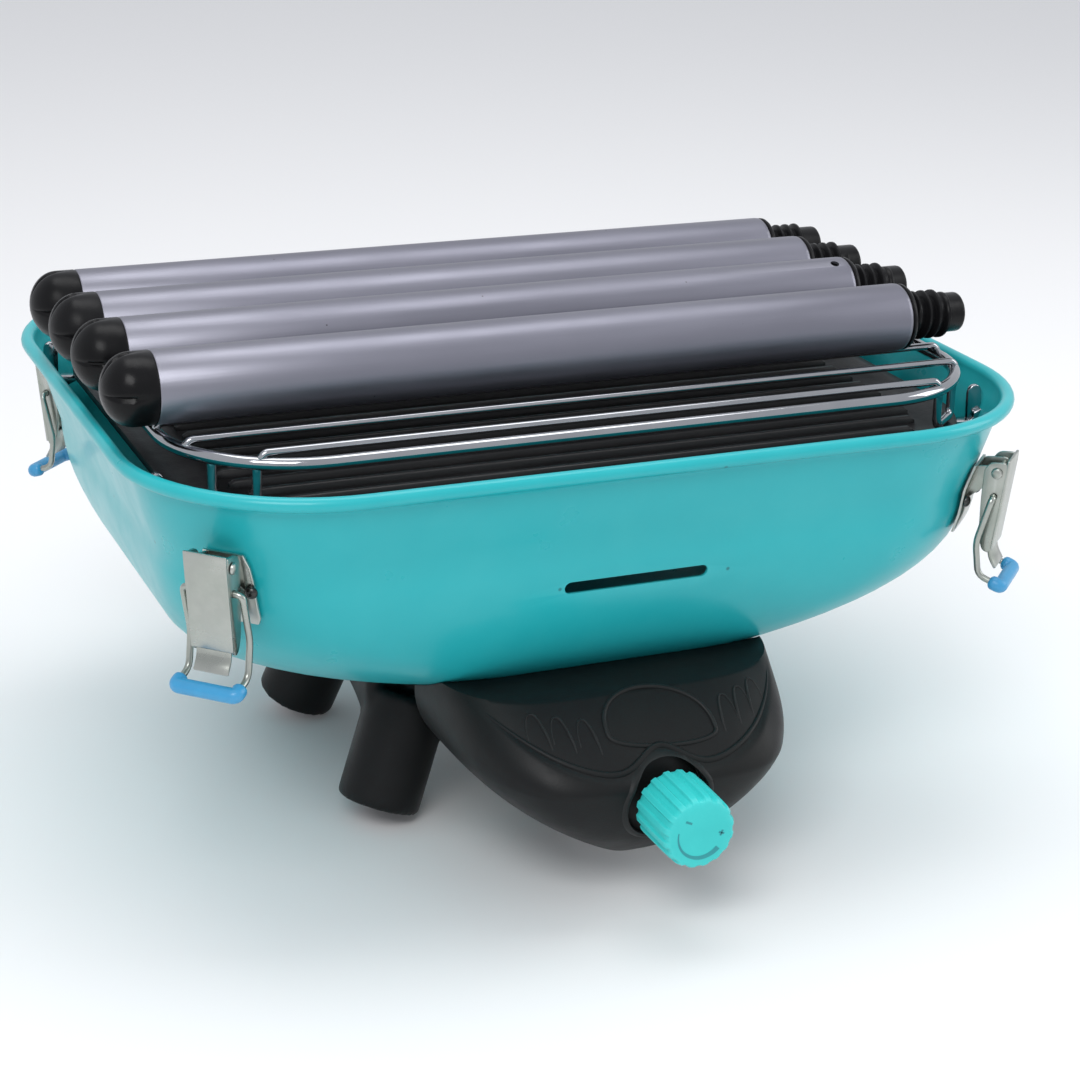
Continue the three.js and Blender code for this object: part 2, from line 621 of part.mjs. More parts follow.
function latchBase() {
  const back = [];
  const front = [];
  for (let depth = BASE_TOP; depth <= BASE_BOTTOM; depth += 8.25) {
    back.push([cornerWall(depth) + 0.7, -depth]);
    front.unshift([cornerWall(depth) + 0.7 + LATCH_SHEET, -depth]);
  }
  const pieces = [sidePlate([...back, ...front], BASE_HALF_WIDTH * 2)];
  const ear = [
    [cornerWall(25) + 1.2, -25],
    [cornerWall(25) + 3.2, -24],
    [PIVOT_U, PIVOT_Z + 3],
    [PIVOT_U + 2.2, PIVOT_Z + 2.1],
    [PIVOT_U + 3, PIVOT_Z],
    [PIVOT_U + 2.2, PIVOT_Z - 2.1],
    [PIVOT_U, PIVOT_Z - 3],
    [cornerWall(42) + 1.2, -42],
  ];
  for (const side of [-1, 1]) {
    pieces.push(sidePlate(ear, LATCH_SHEET, side * (LEVER_HALF_WIDTH - 1.9 * LATCH_SHEET)));
  }
  return join(pieces).subtract(crossHole(PIVOT_U, PIVOT_Z, PIN_R + GAP));
}

function lever() {
  const face = [
    [7.6, -19.5],
    [7.4, -24],
    [2.8, -63],
    [3.4, -68],
    [6, -72.8],
    [5, -73.9],
    [2, -69],
    [1.3, -63],
    [5.9, -24],
    [6.1, -19.5],
  ];
  const cheek = [
    [6.8, -20.5],
    [-1.5, -21],
    [-4.2, -24],
    [-4.7, -40],
    [-4.4, -58],
    [-2.4, -63.5],
    [0.6, -65.2],
    [2.2, -64],
    [6.8, -24.5],
  ];
  const pieces = [sidePlate(face, LEVER_HALF_WIDTH * 2)];
  for (const side of [-1, 1]) {
    pieces.push(sidePlate(cheek, LATCH_SHEET, side * (LEVER_HALF_WIDTH - LATCH_SHEET / 2)));
  }
  return join(pieces)
    .subtract(crossHole(PIVOT_U, PIVOT_Z, PIN_R + GAP))
    .subtract(crossHole(BAIL_U, BAIL_Z, BAIL_WIRE_R + GAP));
}

function bail() {
  const u = BAIL_U;
  const hook = LEVER_HALF_WIDTH - LATCH_SHEET - 1;
  const half = [
    [u, hook, BAIL_Z],
    [u, BAIL_HALF_WIDTH, BAIL_Z],
    [u - 5.6, BAIL_HALF_WIDTH, BAIL_Z - 22],
    [u - 3.4, BAIL_HALF_WIDTH, BAIL_Z - 38],
    [u + SLEEVE_U, BAIL_HALF_WIDTH, BAIL_Z - SLEEVE_DROP],
  ];
  const other = half.map(([x, y, z]) => [x, -y, z]).reverse();
  return bentRod([...half, ...other], BAIL_WIRE_R, 2, 48);
}

function sleeve() {
  const rows = [
    [BAIL_WIRE_R + GAP, -SLEEVE_LENGTH / 2],
    [SLEEVE_R, -SLEEVE_LENGTH / 2],
    [SLEEVE_R, SLEEVE_LENGTH / 2],
    [BAIL_WIRE_R + GAP, SLEEVE_LENGTH / 2],
    [BAIL_WIRE_R + GAP, -SLEEVE_LENGTH / 2],
  ];
  return turned(rows, 12).rotateX(Math.PI / 2).translate(BAIL_U + SLEEVE_U, 0, BAIL_Z - SLEEVE_DROP);
}

function pivotPin() {
  const half = LEVER_HALF_WIDTH + GAP;
  const rows = [
    [0, -half - 1.2],
    [2.4, -half - 1.2],
    [2.6, -half],
    [PIN_R, -half],
    [PIN_R, half],
    [2.6, half],
    [2.4, half + 1.2],
    [0, half + 1.2],
  ];
  return turned(rows, 10).rotateX(Math.PI / 2).translate(PIVOT_U, 0, PIVOT_Z);
}

function baseRivet(side) {
  const slope = Math.atan2(cornerWall(RIVET_DEPTH) - cornerWall(RIVET_DEPTH + 8), 8);
  const u = cornerWall(RIVET_DEPTH) + 0.7 + LATCH_SHEET + GAP;
  const head = turned([[0, 0], [2.6, 0], [2.2, 1], [0, 1.5]], 10);
  head.rotateY(Math.PI / 2 + slope);
  return head.translate(u, side * RIVET_T, -RIVET_DEPTH);
}

for (const [corner, sx, sy] of CORNERS) {
  const latch = new THREE.Group();
  const x = RIM_HALF_X - RIM_CORNER_R * (1 - Math.SQRT1_2);
  const y = RIM_HALF_Y - RIM_CORNER_R * (1 - Math.SQRT1_2);
  latch.position.set(sx * x, sy * y, -LATCH_DROP);
  latch.rotation.z = Math.atan2(sy, sx);
  grill.add(latch);
  put(`latch_${corner}_base`, geometryOf(latchBase()), zinc(), latch);
  put(`latch_${corner}_rivet_a`, baseRivet(-1), zinc(), latch);
  put(`latch_${corner}_rivet_b`, baseRivet(1), zinc(), latch);
  put(`latch_${corner}_lever`, geometryOf(lever()), zinc(), latch);
  put(`latch_${corner}_pin`, pivotPin(), zinc(), latch);
  put(`latch_${corner}_bail`, bail(), zinc(), latch);
  put(`latch_${corner}_sleeve`, sleeve(), blueSleeve(), latch);
}

export default root;
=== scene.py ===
"""Looks for a portable gas party grill packed for carrying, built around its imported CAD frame.

Lengths in this file are millimetres measured from the middle of the bowl's rim plane, with +X along
the front, -Y towards the user and +Z up. at() turns them into the row frame, in metres.
"""

import json
import math

import bmesh
import bpy
from mathutils import Matrix, Vector


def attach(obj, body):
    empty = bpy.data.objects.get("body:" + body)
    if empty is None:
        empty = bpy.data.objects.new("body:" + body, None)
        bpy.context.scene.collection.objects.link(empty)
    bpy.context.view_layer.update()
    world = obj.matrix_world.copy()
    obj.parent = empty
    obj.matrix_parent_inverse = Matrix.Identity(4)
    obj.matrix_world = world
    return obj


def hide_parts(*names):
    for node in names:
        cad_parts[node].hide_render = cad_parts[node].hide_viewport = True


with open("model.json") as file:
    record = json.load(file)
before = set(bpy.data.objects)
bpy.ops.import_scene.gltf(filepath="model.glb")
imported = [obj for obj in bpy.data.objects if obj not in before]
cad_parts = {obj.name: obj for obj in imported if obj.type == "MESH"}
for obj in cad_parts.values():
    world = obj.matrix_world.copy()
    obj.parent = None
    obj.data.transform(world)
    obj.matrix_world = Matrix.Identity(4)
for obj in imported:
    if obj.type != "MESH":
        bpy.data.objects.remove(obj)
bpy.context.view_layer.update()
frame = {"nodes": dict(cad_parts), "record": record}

# ---- driving dimensions ----
MM = 0.001
# the clearance between the bowl and what is shaped to it
GAP = 0.3
RIM_X = 212.4
RIM_Y = 172.4
RIM_R = 83.2
BEAD_R = 3.3
LEG_TIP_X = -218.5
KNOB_FACE_Y = -230
LOWEST_Z = -201.0
CENTRE_X = (LEG_TIP_X + RIM_X + BEAD_R) / 2
CENTRE_Y = (KNOB_FACE_Y + RIM_Y + BEAD_R) / 2
CENTRE = Vector((CENTRE_X, CENTRE_Y, LOWEST_Z))

# the bowl's wall: a straight draft below the rim, then a curve that ends flat at the bottom
SHEET = 1.3
DEPTH = 129.1
DRAFT = 0.301
TOP_INSET = 2.0
STRAIGHT = 40.2
CURVE = 86.4
OVAL = 0.869
WALL_INSET = TOP_INSET + DRAFT * STRAIGHT
CURVE_STEPS = 22

CORNERS = (("fl", -1, -1), ("fr", 1, -1), ("bl", -1, 1), ("br", 1, 1))


def at(x, y, z):
    return (Vector((x, y, z)) - CENTRE) * MM


def lerp(a, b, t):
    return a + (b - a) * t


# ---- meshes ----
# faces meeting at more than this many degrees get a rounded edge on a plate
EDGE_ANGLE = 30


def smooth(obj, degrees=38):
    for face in obj.data.polygons:
        face.use_smooth = True
    obj.data.set_sharp_from_angle(angle=math.radians(degrees))
    return obj


def build(name, points, faces, degrees=38, place=at):
    """a mesh object from points in millimetres, with its faces turned outwards"""
    mesh = bpy.data.meshes.new(name)
    mesh.from_pydata([place(*p) for p in points], [], faces)
    bm = bmesh.new()
    bm.from_mesh(mesh)
    bmesh.ops.remove_doubles(bm, verts=bm.verts, dist=2e-6)
    bmesh.ops.dissolve_degenerate(bm, edges=bm.edges, dist=1e-6)
    bmesh.ops.recalc_face_normals(bm, faces=bm.faces)
    bm.to_mesh(mesh)
    bm.free()
    obj = bpy.data.objects.new(name, mesh)
    bpy.context.scene.collection.objects.link(obj)
    return smooth(obj, degrees)


def loft(name, rings, degrees=38, place=at, closed=False):
    """quads between rings of equal length; an open run of rings gets a flat cap at each end"""
    count = len(rings[0])
    points = [p for ring in rings for p in ring]
    faces = []
    pairs = len(rings) if closed else len(rings) - 1
    for i in range(pairs):
        j = (i + 1) % len(rings)
        for k in range(count):
            m = (k + 1) % count
            faces.append((i * count + k, i * count + m, j * count + m, j * count + k))
    if not closed:
        faces.append(tuple(reversed(range(count))))
        faces.append(tuple(range((len(rings) - 1) * count, len(rings) * count)))
    return build(name, points, faces, degrees, place)


def circle(radius, z, count):
    """a ring of points round the z axis"""
    turn = [math.tau * k / count for k in range(count)]
    return [(radius * math.cos(a), radius * math.sin(a), z) for a in turn]


def turned(name, profile, segments=64, place=at):
    """a turned shape about its own Z from (radius, z) pairs"""
    return loft(name, [circle(max(r, 1e-3), z, segments) for r, z in profile], place=place)


def rounded(points, radius, steps=6, closed=False):
    """a path through points with each corner rounded"""
    points = [Vector(p) for p in points]
    count = len(points)
    path = []
    for i, p in enumerate(points):
        if not closed and i in (0, count - 1):
            path.append(p)
            continue
        before = points[i - 1] - p
        after = points[(i + 1) % count] - p
        reach = min(radius, before.length * 0.49, after.length * 0.49)
        a = p + before.normalized() * reach
        b = p + after.normalized() * reach
        for k in range(steps + 1):
            t = k / steps
            path.append(a * (1 - t) ** 2 + p * 2 * t * (1 - t) + b * t**2)
    return path


def sweep(name, path, radius, sides=12, closed=False, place=at):
    """a round wire along a path, with rounded ends where it is open; radius is a number or a
    function of the share of the path"""
    path = [Vector(p) for p in path]
    count = len(path)
    rows = []
    normal = None
    for i, p in enumerate(path):
        after = path[(i + 1) % count] if closed or i + 1 < count else p
        before = path[i - 1] if closed or i > 0 else p
        along = (after - before).normalized()
        if normal is None:
            normal = along.orthogonal().normalized()
        normal = (normal - along * normal.dot(along)).normalized()
        side = along.cross(normal)
        r = radius(i / (count - 1)) if callable(radius) else radius
        ring = []
        for k in range(sides):
            a = math.tau * k / sides
            ring.append(tuple(p + (normal * math.cos(a) + side * math.sin(a)) * r))
        rows.append((ring, p, along, r))
    rings = [row[0] for row in rows]
    if closed:
        return loft(name, rings, 60, place, closed=True)
    for index, sign in ((0, -1), (-1, 1)):
        ring, p, along, r = rows[index]
        for share in (0.4, 0.75, 0.95):
            shrink = math.sqrt(1 - share**2)
            tip = p + along * sign * r * share * 0.7
            extra = [tuple(tip + (Vector(q) - p) * shrink) for q in ring]
            rings.insert(0 if index == 0 else len(rings), extra)
    return loft(name, rings, 60, place)


def plate(name, outline, low, high, place, bevel):
    """an outline in x-z drawn out along y from low to high, with its edges rounded over"""
    count = len(outline)
    points = [(x, low, z) for x, z in outline] + [(x, high, z) for x, z in outline]
    faces = [tuple(range(count)), tuple(reversed(range(count, 2 * count)))]
    for k in range(count):
        m = (k + 1) % count
        faces.append((k, m, count + m, count + k))
    return round_edges(build(name, points, faces, EDGE_ANGLE, place), bevel)


def modified(obj, kind, **settings):
    """applies one modifier to an object's mesh"""
    modifier = obj.modifiers.new(kind.lower(), kind)
    for key, value in settings.items():
        setattr(modifier, key, value)
    bpy.context.view_layer.update()
    graph = bpy.context.evaluated_depsgraph_get()
    mesh = bpy.data.meshes.new_from_object(obj.evaluated_get(graph))
    obj.modifiers.clear()
    obj.data = mesh
    return obj


def round_edges(obj, width):
    settings = {"width": width * MM, "segments": 2, "limit_method": "ANGLE"}
    modified(obj, "BEVEL", angle_limit=math.radians(EDGE_ANGLE), harden_normals=False, **settings)
    return smooth(obj, 50)


def cut(obj, cutter, operation="DIFFERENCE"):
    """takes the cutter away from a piece, or adds it with UNION; the cutter is used up"""
    modified(obj, "BOOLEAN", object=cutter, operation=operation, solver="EXACT")
    bpy.data.objects.remove(cutter)


def joined(name, pieces):
    """several mesh objects as one"""
    bm = bmesh.new()
    for piece in pieces:
        bm.from_mesh(piece.data)
    mesh = bpy.data.meshes.new(name)
    bm.to_mesh(mesh)
    bm.free()
    for piece in pieces:
        bpy.data.objects.remove(piece)
    obj = bpy.data.objects.new(name, mesh)
    bpy.context.scene.collection.objects.link(obj)
    return smooth(obj, 45)


# ---- materials ----
class Look:
    """a procedural material: base colour, mottling, grain, a lighter tint on convex edges and
    scattered specks
    """

    def __init__(self, name, color, rough, metal=0.0, coat=0.0, shine=0.5):
        self.material = bpy.data.materials.new(name)
        self.material.use_nodes = True
        self.nodes = self.material.node_tree.nodes
        self.links = self.material.node_tree.links
        self.shader = self.nodes["Principled BSDF"]
        self.shader.inputs["Metallic"].default_value = metal
        self.shader.inputs["Coat Weight"].default_value = coat
        self.shader.inputs["Coat Roughness"].default_value = 0.12
        self.shader.inputs["Specular IOR Level"].default_value = shine
        self.rough = rough
        self.coords = self.nodes.new("ShaderNodeTexCoord").outputs["Object"]
        self.color = self.rgb(color)
        self.bumps = []

    def rgb(self, color):
        node = self.nodes.new("ShaderNodeRGB")
        node.outputs[0].default_value = (*color, 1)
        return node.outputs[0]

    def noise(self, scale, stretch=(1, 1, 1), detail=4.0):
        mapping = self.nodes.new("ShaderNodeMapping")
        mapping.inputs["Scale"].default_value = stretch
        self.links.new(self.coords, mapping.inputs["Vector"])
        node = self.nodes.new("ShaderNodeTexNoise")
        node.inputs["Scale"].default_value = scale
        node.inputs["Detail"].default_value = detail
        node.inputs["Roughness"].default_value = 0.55
        self.links.new(mapping.outputs[0], node.inputs["Vector"])
        return node.outputs["Fac"]

    def ramp(self, value, low, high, to_low=0.0, to_high=1.0):
        node = self.nodes.new("ShaderNodeMapRange")
        node.inputs["From Min"].default_value = low
        node.inputs["From Max"].default_value = high
        node.inputs["To Min"].default_value = to_low
        node.inputs["To Max"].default_value = to_high
        self.links.new(value, node.inputs["Value"])
        return node.outputs[0]

    def tint(self, share, color):
        node = self.nodes.new("ShaderNodeMix")
        node.data_type = "RGBA"
        self.links.new(share, node.inputs["Factor"])
        # a mix node's colour sockets are 6, 7 and output 2
        self.links.new(self.color, node.inputs[6])
        self.links.new(self.rgb(color), node.inputs[7])
        self.color = node.outputs[2]
        return self

    def mottle(self, scale, color, share=1.0, stretch=(1, 1, 1)):
        return self.tint(self.ramp(self.noise(scale, stretch), 0.42, 0.68, 0.0, share), color)

    def edges(self, color, share=0.6, low=0.52, high=0.6):
        point = self.nodes.new("ShaderNodeNewGeometry").outputs["Pointiness"]
        return self.tint(self.ramp(point, low, high, 0.0, share), color)

    def specks(self, scale, color, size=0.1):
        node = self.nodes.new("ShaderNodeTexVoronoi")
        node.inputs["Scale"].default_value = scale
        self.links.new(self.coords, node.inputs["Vector"])
        return self.tint(self.ramp(node.outputs["Distance"], size, size * 0.5), color)

    def grain(self, scale, strength, stretch=(1, 1, 1), distance=0.0004):
        node = self.nodes.new("ShaderNodeBump")
        node.inputs["Strength"].default_value = strength
        node.inputs["Distance"].default_value = distance
        self.links.new(self.noise(scale, stretch, 3.0), node.inputs["Height"])
        if self.bumps:
            self.links.new(self.bumps[-1], node.inputs["Normal"])
        self.bumps.append(node.outputs[0])
        return self

    def done(self, spread=0.08, scale=40.0, stretch=(1, 1, 1)):
        low, high = self.rough - spread, self.rough + spread
        rough = self.ramp(self.noise(scale, stretch), 0.3, 0.7, low, high)
        self.links.new(rough, self.shader.inputs["Roughness"])
        self.links.new(self.color, self.shader.inputs["Base Color"])
        if self.bumps:
            self.links.new(self.bumps[-1], self.shader.inputs["Normal"])
        return self.material


enamel = Look("enamel", (0.016, 0.41, 0.445), 0.32, coat=0.15, shine=0.35)
enamel.mottle(6, (0.012, 0.36, 0.40), share=0.6).mottle(45, (0.03, 0.44, 0.47), share=0.35)
enamel.edges((0.07, 0.56, 0.60), 0.5).specks(38, (0.012, 0.19, 0.21), 0.045)
enamel = enamel.grain(420, 0.05).grain(60, 0.03, distance=0.001).done(0.05)

black = Look("black_plastic", (0.005, 0.0055, 0.006), 0.46, shine=0.22)
black.mottle(14, (0.008, 0.009, 0.0085), share=0.8).edges((0.03, 0.033, 0.033), 0.5)
black = black.grain(900, 0.18, distance=0.0003).grain(30, 0.04).done(0.08)

rubber = Look("cap_rubber", (0.004, 0.004, 0.0045), 0.34, shine=0.16)
rubber.mottle(25, (0.008, 0.008, 0.009), share=0.7).edges((0.03, 0.03, 0.032), 0.5, 0.56, 0.66)
rubber = rubber.grain(700, 0.12).grain(90, 0.05, (0.3, 1, 1)).done(0.1)

zinc = Look("zinc", (0.34, 0.36, 0.33), 0.32, metal=1.0)
zinc.mottle(28, (0.26, 0.30, 0.25), share=0.8).mottle(140, (0.42, 0.44, 0.40), share=0.5)
zinc.edges((0.60, 0.61, 0.58), 0.7)
zinc = zinc.grain(500, 0.10, (1, 1, 0.12)).done(0.10, 60)

dark_steel = Look("dark_steel", (0.06, 0.062, 0.06), 0.3, metal=0.9)
dark_steel.mottle(200, (0.03, 0.03, 0.03), share=0.8).edges((0.25, 0.25, 0.24), 0.4, 0.56, 0.66)
dark_steel = dark_steel.grain(500, 0.08).done(0.08)

chrome = Look("chrome", (0.42, 0.43, 0.45), 0.10, metal=1.0)
chrome.mottle(30, (0.32, 0.33, 0.35), share=0.5).edges((0.5, 0.5, 0.5), 0.3, 0.6, 0.7)
chrome = chrome.grain(300, 0.02).done(0.04, 90)

tube_metal = Look("tube", (0.235, 0.235, 0.28), 0.43, metal=0.85)
tube_metal.mottle(22, (0.195, 0.195, 0.235), share=0.7, stretch=(0.25, 1, 1))
tube_metal.specks(70, (0.07, 0.065, 0.08), 0.035).edges((0.36, 0.36, 0.40), 0.6)
tube_metal = tube_metal.grain(650, 0.10, (0.03, 1, 1)).done(0.07, 70, (0.2, 1, 1))

coating = Look("griddle_coat", (0.006, 0.006, 0.007), 0.40, shine=0.35)
coating.mottle(10, (0.011, 0.011, 0.012), share=0.8).edges((0.03, 0.03, 0.03), 0.4)
coating = coating.grain(800, 0.22, distance=0.0004).done(0.1)

dip = Look("sleeve", (0.03, 0.30, 0.56), 0.36, coat=0.1)
dip.mottle(60, (0.025, 0.24, 0.47), share=0.7).edges((0.15, 0.42, 0.75), 0.4)
dip = dip.grain(260, 0.08).done(0.06)

knob_look = Look("knob_plastic", (0.045, 0.60, 0.58), 0.40, shine=0.35)
knob_look.mottle(30, (0.035, 0.52, 0.51), share=0.7).edges((0.12, 0.70, 0.68), 0.6)
knob_look = knob_look.grain(700, 0.10).done(0.06)

# painted shade: a darker copy of the knob's plastic stands in for the shade in the moulded grooves
# of the minus, the plus and the arc
groove_shade = Look("knob_groove_shade", (0.018, 0.29, 0.31), 0.5)
groove_shade = groove_shade.mottle(60, (0.015, 0.24, 0.27)).grain(700, 0.1).done(0.05)

brass = Look("brass", (0.62, 0.44, 0.18), 0.30, metal=1.0)
brass.mottle(35, (0.50, 0.33, 0.13), share=0.8).edges((0.8, 0.65, 0.35), 0.5)
brass = brass.grain(500, 0.08).done(0.08)

# the look of each material slot, for the CAD nodes that keep their own shape
SLOT_LOOKS = {
    "enamel": enamel,
    "black_plastic": black,
    "zinc": zinc,
    "chrome": chrome,
    "tube": tube_metal,
    "griddle_coat": coating,
    "sleeve": dip,
    "knob_plastic": knob_look,
    "brass": brass,
}


def finish_piece(obj, look, slot, body, *nodes):
    """gives a piece its look and the body it rides on; it stands in for the CAD nodes; the slot
    argument is not used
    """
    obj.data.materials.clear()
    obj.data.materials.append(look)
    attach(obj, body)
    if nodes:
        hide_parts(*nodes)
    return obj


# ---- bowl ----
def wall_inset(depth):
    """how far the bowl's outside stands in from the rim line at a depth"""
    if depth < STRAIGHT:
        return TOP_INSET + DRAFT * depth
    drop = min(1.0, (depth - STRAIGHT) / (DEPTH - STRAIGHT))
    return WALL_INSET + CURVE * (1 - math.sqrt(1 - drop**2))


def oval_share(inset):
    """how far the bowl's outline at an inset is drawn towards an oval"""
    run = min(max((inset - WALL_INSET) / CURVE, 0.0), 1.0)
    return OVAL * math.sqrt(1 - (1 - run) ** 2) ** 3.5


def corner_radius(inset):
    """the plan corners tighten down the straight wall and open again in the curve"""
    return RIM_R - inset if inset < WALL_INSET else RIM_R - 2 * WALL_INSET + inset


def plan(half_x, half_y, radius, z, oval=0.0, steps=16, flats=8):
    """a rounded rectangle drawn towards an oval, as a ring of points"""
    radius = min(radius, half_x - 1, half_y - 1)
    ring = []
    corners = ((1, 1), (-1, 1), (-1, -1), (1, -1))
    for q, (sx, sy) in enumerate(corners):
        for k in range(steps + 1):
            t = math.pi / 2 * (q + k / steps)
            c, s = math.cos(t), math.sin(t)
            x = sx * (half_x - radius) + radius * c
            y = sy * (half_y - radius) + radius * s
            ring.append((lerp(x, half_x * c, oval), lerp(y, half_y * s, oval), z))
    out = []
    for i, p in enumerate(ring):
        out.append(p)
        if i % (steps + 1) == steps:
            q = ring[(i + 1) % len(ring)]
            for k in range(1, flats):
                share = k / flats
                out.append((lerp(p[0], q[0], share), lerp(p[1], q[1], share), z))
    return out


def bowl_ring(inset, z):
    radius = corner_radius(inset)
    return plan(RIM_X - inset, RIM_Y - inset, radius, z, oval_share(inset))


def bowl_rows(grow):
    """(inset, z) rows of the bowl's curved part from the bottom up, grown outwards"""
    rows = []
    for i in range(CURVE_STEPS + 1):
        a = math.pi / 2 * (1 - i / CURVE_STEPS)
        inset = WALL_INSET + CURVE * (1 - math.cos(a))
        z = -STRAIGHT - (DEPTH - STRAIGHT) * math.sin(a)
        rows.append((inset - grow, z - grow * math.sin(a)))
    return rows


def bowl_solid(grow):
    """the bowl's outside as a solid reaching above the rim, for cutting other pieces"""
    rows = bowl_rows(grow) + [(-20, 0.0)]
    return loft("bowl_space", [bowl_ring(i, z) for i, z in rows])


# up the outside, round the bead and down the inside
rows = bowl_rows(0)
for depth in (30, 20, 12):
    rows.append((wall_inset(depth), -depth))
rows += [(wall_inset(7), -7), (wall_inset(5), -5), (wall_inset(4.2) - 0.3, -4.2), (1.7, -3.7)]
for k in range(19):
    a = math.radians(-105 + 285 * k / 18)
    rows.append((-BEAD_R * math.cos(a), BEAD_R * math.sin(a)))
rows.append((BEAD_R + 0.1, -2.0))
rows.append((wall_inset(6) + SHEET * 0.8, -6))
for depth in (12, 20, 30):
    rows.append((wall_inset(depth) + SHEET, -depth))
rows += list(reversed(bowl_rows(-SHEET)))
bowl = loft("bowl_shell", [bowl_ring(i, z) for i, z in rows], 50)
SLOT_R = 2.9
SLOT_HALF = 31.6
SLOT_Z = -56.5
slot_outline = []
for side, start in ((1, 90), (-1, 270)):
    for k in range(9):
        a = math.radians(start - 180 * k / 8)
        x = side * SLOT_HALF + SLOT_R * math.cos(a)
        slot_outline.append((x, SLOT_Z + SLOT_R * math.sin(a)))
cut(bowl, plate("slot_cutter", slot_outline, -RIM_Y - 10, -RIM_Y + 30, at, 0.0))
smooth(bowl, 50)
finish_piece(bowl, enamel, "enamel", "base", "bowl")

# ---- rack ----
RACK_X = 193
RACK_Y = 139.5
RACK_R = 60
RING_Z = 6.9
RING_WIRE_R = 3.0
WIRE_Z = 11.4
WIRE_R = 1.7
WIRE_STEP = 26.4
FOOT_R = 2.1
FOOT_LOW = -11.1
# each foot is a bent wire whose two ends stand this many degrees round the corner
FOOT_TURN = 49
FOOT_SPREAD = 10
ring_path = plan(RACK_X, RACK_Y, RACK_R, RING_Z, steps=16, flats=4)
pieces = [sweep("ring", ring_path, RING_WIRE_R, 14, closed=True)]
for i in range(-5, 6):
    y = i * WIRE_STEP
    over = max(0.0, abs(y) - (RACK_Y - RACK_R))
    reach = RACK_X - RACK_R + math.sqrt(RACK_R**2 - over**2)
    ends = [(-reach - 0.3, y, RING_Z + 2.4), (-reach + 1.6, y, WIRE_Z + 0.1)]
    wire = rounded(ends + [(-x, y, z) for x, y, z in reversed(ends)], 2, 4)
    pieces.append(sweep("wire", wire, WIRE_R, 12))
for _, sx, sy in CORNERS:
    foot = []
    for side, z in ((-1, RING_Z), (-1, FOOT_LOW), (1, FOOT_LOW), (1, RING_Z)):
        a = math.radians(FOOT_TURN + side * FOOT_SPREAD)
        x = RACK_X - RACK_R + (RACK_R - 0.5) * math.cos(a)
        y = RACK_Y - RACK_R + (RACK_R - 0.5) * math.sin(a)
        foot.append((sx * x, sy * y, z))
    pieces.append(sweep("foot", rounded(foot, 4.5, 5), FOOT_R, 12))
finish_piece(joined("rack_wires", pieces), chrome, "chrome", "rack", "rack")

# ---- griddle ----
GRIDDLE_X = 192.5
GRIDDLE_Y = 153
GRIDDLE_R = 70
PLATE_TOP = -13.4
RIB_STEP = 14
RIB_MARGIN = 24
profile = ((3.5, -5), (1.0, -4.4), (0, -3), (0, -1.0), (0.5, -0.2), (1.6, 0), (6, 0), (8, -0.8))
rings = [plan(GRIDDLE_X - i, GRIDDLE_Y - i, GRIDDLE_R - i, PLATE_TOP + z) for i, z in profile]
pieces = [loft("plate", rings)]
for i in range(-10, 11):
    y = i * RIB_STEP
    over = max(0.0, abs(y) - (GRIDDLE_Y - GRIDDLE_R))
    half = GRIDDLE_X - GRIDDLE_R + math.sqrt(GRIDDLE_R**2 - over**2) - RIB_MARGIN
    rib_rows = []
    for share in (-1, -0.985, -0.9, 0.9, 0.985, 1):
        low = 0.35 if abs(share) == 1 else 1.0
        x = share * half
        top = PLATE_TOP + 2.4 * low
        edge = PLATE_TOP + 1.7 * low
        base = PLATE_TOP - 1.2
        row = [(2.0, base), (1.8, edge), (1.1, top), (-1.1, top), (-1.8, edge), (-2.0, base)]
        rib_rows.append([(x, y + dy, z) for dy, z in row])
    pieces.append(loft("rib", rib_rows, 60))
finish_piece(joined("griddle_plate", pieces), coating, "griddle_coat", "griddle", "griddle")

# ---- griddle supports: a shelf and an upright tab on the wall at each corner ----
LUG_TURN = math.radians(12)
for corner, sx, sy in CORNERS:
    turn = Matrix.Rotation(math.atan2(sy * math.sin(LUG_TURN), sx * math.cos(LUG_TURN)), 3, "Z")
    middle = Vector((sx * (RIM_X - RIM_R), sy * (RIM_Y - RIM_R), 0))

    def by_wall(x, y, z, turn=turn, middle=middle):
        return at(*(middle + turn @ Vector((x - RIM_X + RIM_R, y, z))))

    wall = [RIM_X - wall_inset(d) - SHEET - 0.7 for d in (11, 19, 27)]
    shelf = [(wall[2], -26.7), (wall[2] - 12, -20.3), (wall[2] - 12, -19.0), (199.4, -18.9)]
    shelf += [(201.4, -17.0), (wall[1] - 1.5, -15.0), (wall[0], -13), (wall[1], -19)]
    upright = [(198.6, -19.6), (198.2, -6.2), (198.8, -3.6), (200.4, -2.0), (202.4, -1.6)]
    upright += [(204.3, -2.6), (205.2, -4.6), (wall[0] + 0.3, -11), (wall[1] + 0.3, -19)]
    pieces = [plate("shelf", shelf, -3.6, 3.6, by_wall, 0.5)]
    pieces.append(plate("upright", upright, -1.3, 1.3, by_wall, 0.5))
    obj = joined(f"support_tab_{corner}", pieces)
    finish_piece(obj, chrome, "chrome", "base", f"griddle_support_{corner}")

# ---- loose legs ----
TUBE_R = 16
BORE_R = TUBE_R - 1.2
PLUG_R = BORE_R - 0.4
LEFT = -196.2
RIGHT = 164.6
LEG_Y = (54.1, 11.9, -33.7, -87.6)
LEG_Z = 30.3
# how far each leg is rolled about its axis compared with the one before, in radians
LEG_ROLL = 0.9
CAP_STRAIGHT = 9
CAP_DOME = 13.3
# how deep the cap's four moulded grooves are on each row of its outline, as a share of the radius
CAP_GROOVE = (0, 0, 0.03, 0.08, 0.11, 0.12, 0.125, 0.13, 0.13, 0.13, 0.12, 0.09, 0.03)
SHOULDER_END = RIGHT + 3.2
THREAD_PITCH = 5.2
CORE_R = 9.4
CREST_R = 11.6
THREAD_TURNS = 3.8
THREAD_STEPS = 120
